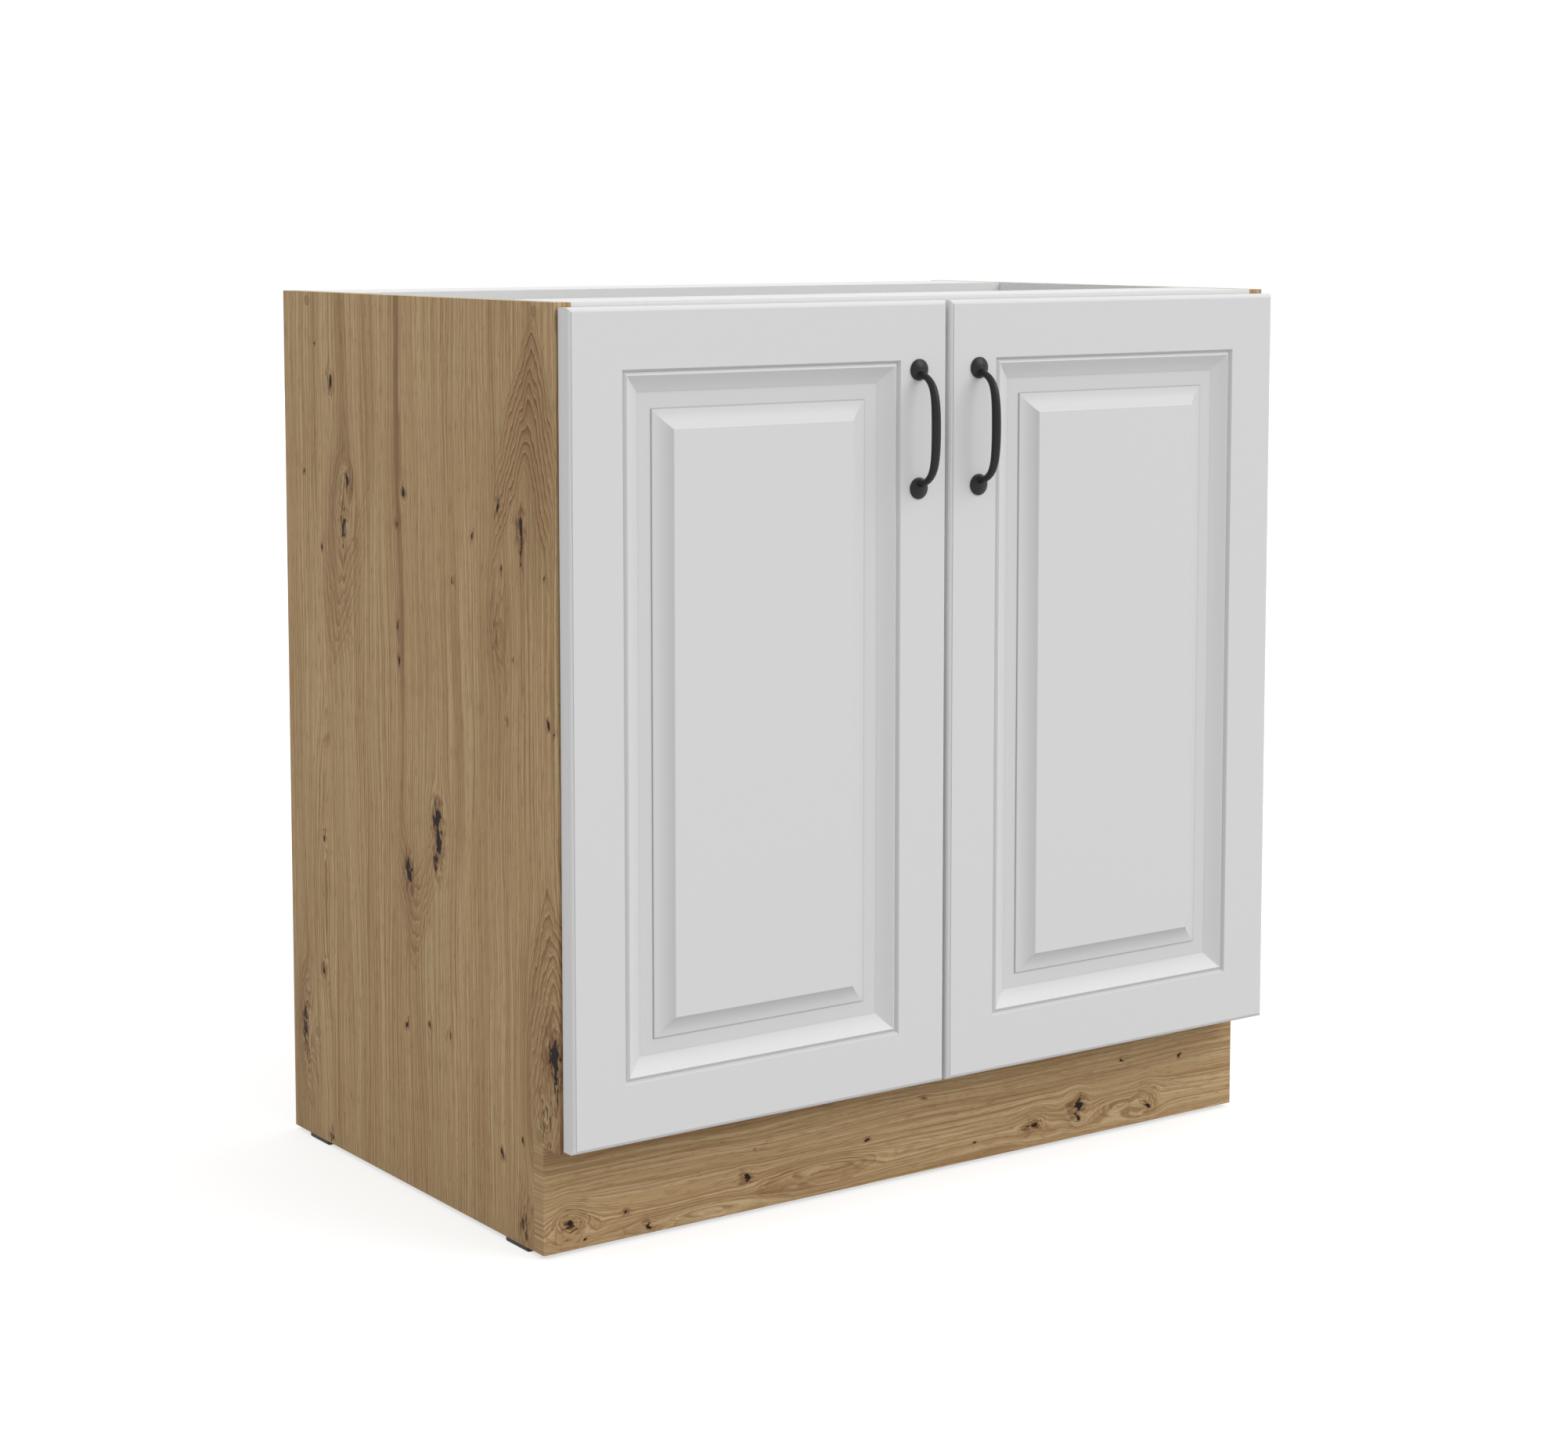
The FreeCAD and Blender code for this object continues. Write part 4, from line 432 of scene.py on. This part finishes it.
plinth_knots = [
    (25, 26, 9, 6, 0.6, 0.45), (26, 26, 3, 2.5, 0.5, 0.85), (28, 84, 2.2, 3, 0.7, 0.8),
    (12, 44, 1.4, 1.6, 0.5, 0.7), (9, 105, 3, 4, 0.7, 0.8), (35, 211, 4, 5, 0.8, 0.8),
    (45, 346, 1.5, 2, 0.5, 0.7), (59, 221, 1, 1.4, 0.5, 0.7), (74, 408, 1.6, 3, 0.5, 0.75),
    (24, 545, 7, 9, 0.7, 0.35), (25, 545, 3, 7, 0.5, 0.85), (34, 600, 7, 6, 0.8, 0.9),
    (22, 601, 3, 3, 0.5, 0.85), (20, 690, 3, 2.5, 0.6, 0.85), (28, 687, 8, 8, 0.6, 0.25),
    (71, 656, 1.8, 2, 0.5, 0.75), (64, 731, 1.8, 2, 0.5, 0.75), (20, 473, 1.4, 2, 0.5, 0.6),
]
# Streaks: across, low end, high end, half width, darkness.
side_streaks = [
    (276, 470, 860, 8, 0.70), (275, 330, 520, 8, 0.40), (384, 640, 860, 14, 0.35), (384, 560, 680, 20, 0.42),
    (440, 620, 860, 10, 0.22), (470, 60, 160, 26, 0.50), (262, 200, 330, 14, 0.25), (20, 90, 210, 20, 0.45),
    (38, 560, 800, 30, 0.34), (96, 520, 560, 20, 0.40), (52, 0, 50, 18, 0.35), (490, -30, 40, 30, 0.40),
]
plinth_streaks = [
    (90, -60, 360, 14, 0.25), (12, 90, 420, 8, 0.30), (42, 180, 330, 8, 0.25), (28, 480, 640, 12, 0.25),
    (60, 420, 860, 6, 0.2),
]
# Round figures: across, along, half width, half length, height of the rings' cone.
side_arcs = [(384, 575, 12, 40, 24), (24, 196, 14, 40, 40), (22, 122, 10, 22, 34), (468, 110, 9, 30, 24),
             (432, 250, 9, 76, 20)]
plinth_arcs = [(28, 290, 6, 36, 24), (12, 170, 5, 36, 18), (26, 655, 6, 22, 22), (26, 26, 6, 12, 20)]
# Pointed figures: across, first arch, last arch, half width, steepness, lean, distance between arches,
# strength. Where the last arch is the higher one, they point up. The plinth's piece of plank has none.
side_peaks = [
    (48, 690, 826, 62, 2.4, -0.12, 15, 0.95), (386, 570, 440, 50, 2.3, -0.20, 19, 0.45),
    (250, 286, 190, 44, 2.2, -0.06, 14, 0.55), (8, 219, 344, 58, 2.3, 0.08, 16, 0.80),
    (44, 14, 54, 26, 2.2, 0.0, 12, 0.35),
]
plinth_peaks = []


def add_bare_faces(tree, place, behind, inward, print_colour):
    """Where an upright board isn't printed: white melamine inside, and pale chips on the edges that have
    no band."""
    outside = add_node(tree, "ShaderNodeMath", (inward, face_depth), operation="LESS_THAN")
    band = add_node(tree, "ShaderNodeMath", (behind, band_depth), operation="LESS_THAN")
    printed = add_node(tree, "ShaderNodeMath", (outside, band), operation="MAXIMUM")
    inside = add_node(tree, "ShaderNodeMath", (inward, board_thickness - face_depth),
                      operation="GREATER_THAN")
    chips = add_node(tree, "ShaderNodeTexNoise", {"Vector": place, "Scale": 1 / (chip_width * mm),
                                                  "Detail": 2.0})
    raw = add_node(tree, "ShaderNodeValToRGB", (chips,), stops=[(0.36, chip_dark), (0.60, chip_light)])
    bare = add_node(tree, "ShaderNodeMix", {"Factor": inside, 6: raw, 7: linear(melamine_white)},
                    data_type="RGBA")
    return add_node(tree, "ShaderNodeMix", {"Factor": printed, 6: bare, 7: print_colour}, data_type="RGBA")


def board_finish(name, upright, knots, streaks, arcs, peaks):
    """The print under its matt melamine skin, on a board that stands upright or lies lengthwise. It runs
    on over the front edge's band. Its pressed pores are drawn 1.3 mm wide, coarser than real ones, so
    that they show."""
    finish, tree, shader, place = start_finish(name)
    parts = add_node(tree, "ShaderNodeSeparateXYZ", (place,)).outputs
    if upright:
        outward = add_node(tree, "ShaderNodeMath", (parts["X"],), operation="ABSOLUTE")
        inward = add_node(tree, "ShaderNodeMath", (outer_face, outward), operation="SUBTRACT")
        behind = add_node(tree, "ShaderNodeMath", (parts["Y"], -front_edge), operation="ADD")
        across = add_node(tree, "ShaderNodeMath", (behind, inward), operation="SUBTRACT")
        spot = add_node(tree, "ShaderNodeCombineXYZ", (across, parts["Z"], 0.0))
    else:
        along = add_node(tree, "ShaderNodeMath", (parts["X"], outer_face), operation="ADD")
        spot = add_node(tree, "ShaderNodeCombineXYZ", (parts["Z"], along, 0.0))
    point = add_node(tree, "ShaderNodeVectorMath", (spot, (1 / mm, 1 / mm, 0)), operation="MULTIPLY")
    colour = oak_print(tree, point, knots, streaks, arcs, peaks)
    if upright:
        colour = add_bare_faces(tree, place, behind, inward, colour)
    pores = add_node(tree, "ShaderNodeBump", {"Strength": 0.12, "Distance": 0.2 * mm,
                                              "Height": cloud(tree, point, 1.3, 45, 1)})
    feed(tree, shader, {"Base Color": colour, "Normal": pores, "Roughness": 0.6, "Specular IOR Level": 0.15})
    return finish


dress(board_finish("oak_print_melamine_upright", True, side_knots, side_streaks, side_arcs, side_peaks),
      "side_panel_left", "side_panel_right")
dress(board_finish("oak_print_melamine_lengthwise", False, plinth_knots, plinth_streaks, plinth_arcs,
                   plinth_peaks), "plinth")


# Caps over the screws that hold rails and bottom panel: brown moulded polyethylene, pressed into the
# screw heads. Their fine moulded grain is duller than the print round them. The lower pair of each side
# sits at the bottom panel's height and is made here as turned discs.
cap_sides = 40
# The profile holds radius and height over the board, and the spots are behind the front edge and up, in mm.
cap_profile = [(5.6, 0.0), (5.5, 0.12), (5.1, 0.2), (3.4, 0.27), (1.6, 0.295), (0.0, 0.3)]
cap_spots = [(35, 108), (451, 108)]


def grained_finish(name, grain_width, detail, tones, relief, roughness, specular=0.5, metallic=0.0):
    """A surface with a fine grain, so many millimetres wide, that runs between two tones and stands up a
    little. The roughness is one value, or two that the grain runs between."""
    finish, tree, shader, place = start_finish(name)
    grain = add_node(tree, "ShaderNodeTexNoise", {"Vector": place, "Scale": 1 / (grain_width * mm),
                                                  "Detail": detail})
    shade = add_node(tree, "ShaderNodeMix", {"Factor": grain, 6: linear(tones[0]), 7: linear(tones[1])},
                     data_type="RGBA")
    bump = add_node(tree, "ShaderNodeBump", {"Strength": relief, "Distance": 0.1 * mm, "Height": grain})
    if isinstance(roughness, tuple):
        roughness = add_node(tree, "ShaderNodeMapRange", (grain, 0.0, 1.0, *roughness))
    feed(tree, shader, {"Base Color": shade, "Normal": bump, "Roughness": roughness,
                        "Specular IOR Level": specular, "Metallic": metallic})
    return finish


# The moulded grain is drawn 0.7 mm wide. The real one is finer, too fine to show.
cap_finish = grained_finish("brown_polyethylene", grain_width=0.7, detail=2.0, tones=("907750", "A58A62"),
                            relief=0.2, roughness=0.6, specular=0.3)
dress(cap_finish, "screw_caps")

turns = [math.tau * step / cap_sides for step in range(cap_sides)]
for side, name in ((-1, "lower_screw_caps_left"), (1, "lower_screw_caps_right")):
    solid = bmesh.new()
    for behind, up in cap_spots:
        rings = []
        for radius, proud in cap_profile[:-1]:
            rings.append([solid.verts.new((side * (outer_face + proud * mm),
                                           front_edge + (behind + radius * math.cos(turn)) * mm,
                                           (up + radius * math.sin(turn)) * mm)) for turn in turns])
        tip = solid.verts.new((side * (outer_face + cap_profile[-1][1] * mm), front_edge + behind * mm,
                               up * mm))
        for low, high in zip(rings, rings[1:]):
            for step in range(cap_sides):
                after = (step + 1) % cap_sides
                solid.faces.new((low[step], low[after], high[after], high[step]))
        for step in range(cap_sides):
            solid.faces.new((rings[-1][step], rings[-1][(step + 1) % cap_sides], tip))
    bmesh.ops.recalc_face_normals(solid, faces=solid.faces)
    for face in solid.faces:
        face.smooth = True
    mesh = bpy.data.meshes.new(name)
    solid.to_mesh(mesh)
    solid.free()
    mesh.materials.append(cap_finish)
    caps = bpy.data.objects.new(name, mesh)
    bpy.context.scene.collection.objects.link(caps)
    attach(caps, "carcass")


# Bottom panel, rails and shelf: chipboard with white melamine faces, pressed with a fine orange-peel
# texture, which gives a flat matt white. The texture is drawn 1.1 mm wide, coarser than the real one,
# so that it shows.
finish = grained_finish("white_melamine", grain_width=1.1, detail=2.0, tones=("E7E7E6", "EDEDED"),
                        relief=0.08, roughness=0.5, specular=0.3)
dress(finish, "bottom_panel", "front_rail", "rear_rail", "shelf")


# Back panel: hardboard pressed from brown fibres, lacquered white on the face that is seen from inside
# and left raw behind, where it shows its flocky brown.
lacquer_white = "E8E8E6"
flock_dark, flock_light = "866545", "9D7C58"
lacquer_depth = 0.4 * mm
panel_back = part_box("back_panel")[1].y
# The fibres are drawn in bundles 1.4 mm wide, coarser than the real ones, so that they show.
fibre_width = 1.4
finish, tree, shader, place = start_finish("white_lacquered_hardboard")
fibres = add_node(tree, "ShaderNodeTexNoise", {"Vector": place, "Scale": 1 / (fibre_width * mm),
                                               "Detail": 4.0})
flock = add_node(tree, "ShaderNodeValToRGB", (fibres,), stops=[(0.34, flock_dark), (0.66, flock_light)])
depth = add_node(tree, "ShaderNodeSeparateXYZ", (place,)).outputs["Y"]
behind = add_node(tree, "ShaderNodeMath", (depth, panel_back - lacquer_depth), operation="GREATER_THAN")
shade = add_node(tree, "ShaderNodeMix", {"Factor": behind, 6: linear(lacquer_white), 7: flock},
                 data_type="RGBA")
bump = add_node(tree, "ShaderNodeBump", {"Strength": 0.12, "Distance": 0.1 * mm, "Height": fibres})
feed(tree, shader, {"Base Color": shade, "Normal": bump, "Roughness": 0.55, "Specular IOR Level": 0.3})
dress(finish, "back_panel")


# Doors: fibreboard milled with a raised panel and wrapped in matt white foil, drawn down by vacuum. Over the
# milled part the colour is painted a touch greyer in bands, darkest in the tight inner corners and creases:
# this is painted shade for the shade that falls in the milled recesses.
foil_white = "E6E5E6"
# Each tone of the painted shade stands at its distance from the door's edge in mm, and the milled part lies
# between two more.
milled_from, milled_to = 50, 110
painted_shade_tones = [(51.8, foil_white), (53.4, "D6D6D7"), (54.9, "D4D5D6"), (57.2, "E5E5E5"), (70.5, "E1E0E1"),
              (72.4, "DADADB"), (74.5, "E0DFE0"), (85.2, "E0DFE0"), (86.2, "BEBEC0"), (87.2, "E0E0E0"),
              (102.6, "DEDEDF"), (104.2, foil_white)]
front_depth = 10 * mm
# The foil's peel is drawn 0.8 mm wide, coarser than the real one, so that it shows.
peel_width = 0.8
door_low, door_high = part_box("door_left")
door_middle = (door_low + door_high) / 2
door_half = (door_high - door_low) / 2
finish, tree, shader, place = start_finish("white_foil_on_fibreboard")
parts = add_node(tree, "ShaderNodeSeparateXYZ", (place,)).outputs
outward = add_node(tree, "ShaderNodeMath", (parts["X"],), operation="ABSOLUTE")
aside = add_node(tree, "ShaderNodeMath", (outward, door_middle.x), operation="ADD")
aside = add_node(tree, "ShaderNodeMath", (aside,), operation="ABSOLUTE")
from_side = add_node(tree, "ShaderNodeMath", (door_half.x, aside), operation="SUBTRACT")
above = add_node(tree, "ShaderNodeMath", (parts["Z"], door_middle.z), operation="SUBTRACT")
above = add_node(tree, "ShaderNodeMath", (above,), operation="ABSOLUTE")
from_end = add_node(tree, "ShaderNodeMath", (door_half.z, above), operation="SUBTRACT")
inwards = add_node(tree, "ShaderNodeMath", (from_side, from_end), operation="MINIMUM")
milled = add_node(tree, "ShaderNodeMapRange", (inwards, milled_from * mm, milled_to * mm))
# Painted shade: greyer tones across the milled band, with dark lines in the inner corners and creases.
painted_crease_shade = add_node(tree, "ShaderNodeValToRGB", (milled,),
                stops=[((at - milled_from) / (milled_to - milled_from), tone) for at, tone in painted_shade_tones])
front = add_node(tree, "ShaderNodeMath", (parts["Y"], door_low.y + front_depth), operation="LESS_THAN")
shade = add_node(tree, "ShaderNodeMix", {"Factor": front, 6: linear(foil_white), 7: painted_crease_shade}, data_type="RGBA")
peel = add_node(tree, "ShaderNodeTexNoise", {"Vector": place, "Scale": 1 / (peel_width * mm), "Detail": 2.0})
bump = add_node(tree, "ShaderNodeBump", {"Strength": 0.05, "Distance": 0.1 * mm, "Height": peel})
feed(tree, shader, {"Base Color": shade, "Normal": bump, "Roughness": 0.48, "Specular IOR Level": 0.35})
dress(finish, "door_left", "door_right")


# Handles: zinc castings with a matt black powder coat, whose fine grain catches a soft light. The grain
# is drawn 0.65 mm wide, coarser than the real one, so that it shows.
finish = grained_finish("black_powder_coated_zinc", grain_width=0.65, detail=2.0, tones=("11100F", "1B1918"),
                        relief=0.25, roughness=0.38, specular=0.35)
dress(finish, "handle_left", "handle_right")


# Door bumpers: clear soft rubber domes, stuck inside the doors' free corners, which bend the light a
# little and show the foil behind them. A haze in blots of 1.7 mm dulls them unevenly.
rubber_clear = "F2F4F4"
haze_width = 1.7
finish, tree, shader, place = start_finish("clear_soft_rubber")
haze = add_node(tree, "ShaderNodeTexNoise", {"Vector": place, "Scale": 1 / (haze_width * mm), "Detail": 1.0})
dull = add_node(tree, "ShaderNodeMapRange", (haze, 0.0, 1.0, 0.10, 0.24))
feed(tree, shader, {"Base Color": linear(rubber_clear), "Roughness": dull, "Transmission Weight": 0.85,
                    "IOR": 1.49})
dress(finish, "door_bumpers_left", "door_bumpers_right")


# Hinges' pressed and turned pieces, screws, pins and shelf supports: steel plated with nickel, rolled
# or turned first, so that it shines softly and keeps a faint drawn grain. The grain is drawn 0.9 mm
# wide, many times coarser than the real one, so that it shows.
nickel_dark, nickel_light = "B9B4AC", "CBC7C0"
drawn_width, drawn_length = 0.9 * mm, 6.2 * mm
finish, tree, shader, place = start_finish("nickel_plated_steel")
drawn = add_node(tree, "ShaderNodeVectorMath", (place, (1 / drawn_width, 1 / drawn_length, 1 / drawn_width)),
                 operation="MULTIPLY")
grain = add_node(tree, "ShaderNodeTexNoise", {"Vector": drawn, "Scale": 1.0, "Detail": 2.0})
dull = add_node(tree, "ShaderNodeMapRange", (grain, 0.0, 1.0, 0.20, 0.36))
shade = add_node(tree, "ShaderNodeMix", {"Factor": grain, 6: linear(nickel_dark), 7: linear(nickel_light)},
                 data_type="RGBA")
feed(tree, shader, {"Base Color": shade, "Roughness": dull, "Metallic": 1})
hinges = [f"{side}_{level}" for side in ("left", "right") for level in ("lower", "upper")]
dress(finish, "rail_screws", "cam_bolts", "shelf_supports", "back_panel_pins", "plinth_bracket_screws",
      "hinge_plate_screws", "hinge_arm_screws", "hinge_arm_pins", "hinge_cup_screws_left",
      "hinge_cup_screws_right", "hinge_cup_pins_left", "hinge_cup_pins_right", "handle_screws_left",
      "handle_screws_right",
      *[f"hinge_{piece}_{hinge}" for piece in ("arm", "outer_link", "inner_link", "cup") for hinge in hinges])


# Hinge plates and cam housings: zinc die castings, tumbled and left plain, a duller and bluer grey
# with the mottle of a cast skin.
finish = grained_finish("die_cast_zinc", grain_width=2.0, detail=3.0, tones=("A2A5A8", "B8BABC"),
                        relief=0.2, roughness=(0.34, 0.52), metallic=1.0)
dress(finish, "cam_housings", *[f"hinge_plate_{hinge}" for hinge in hinges])


# Dowels: turned beech, pale and pinkish, with the short dark flecks of its rays, which are drawn 1.1 mm
# wide, coarser than real ones, so that they show.
fleck_brown, beech_pale = "B98F68", "D3AE86"
fleck_width, fleck_length = 1.1 * mm, 8.3 * mm
finish, tree, shader, place = start_finish("turned_beech")
along = add_node(tree, "ShaderNodeVectorMath", (place, (1 / fleck_length, 1 / fleck_width, 1 / fleck_width)),
                 operation="MULTIPLY")
flecks = add_node(tree, "ShaderNodeTexNoise", {"Vector": along, "Scale": 1.0, "Detail": 3.0})
wood = add_node(tree, "ShaderNodeValToRGB", (flecks,), stops=[(0.35, fleck_brown), (0.55, beech_pale)])
feed(tree, shader, {"Base Color": wood, "Roughness": 0.65})
dress(finish, "dowels")


# Glides and plinth brackets: black polypropylene, moulded with a matt surface, whose grain is drawn
# 0.65 mm wide, coarser than the real one, so that it shows.
finish = grained_finish("black_polypropylene", grain_width=0.65, detail=1.0, tones=("121212", "1B1B1B"),
                        relief=0.15, roughness=0.55)
dress(finish, "glide_front_left", "glide_front_right", "glide_back_left", "glide_back_right",
      "plinth_bracket_left", "plinth_bracket_right")
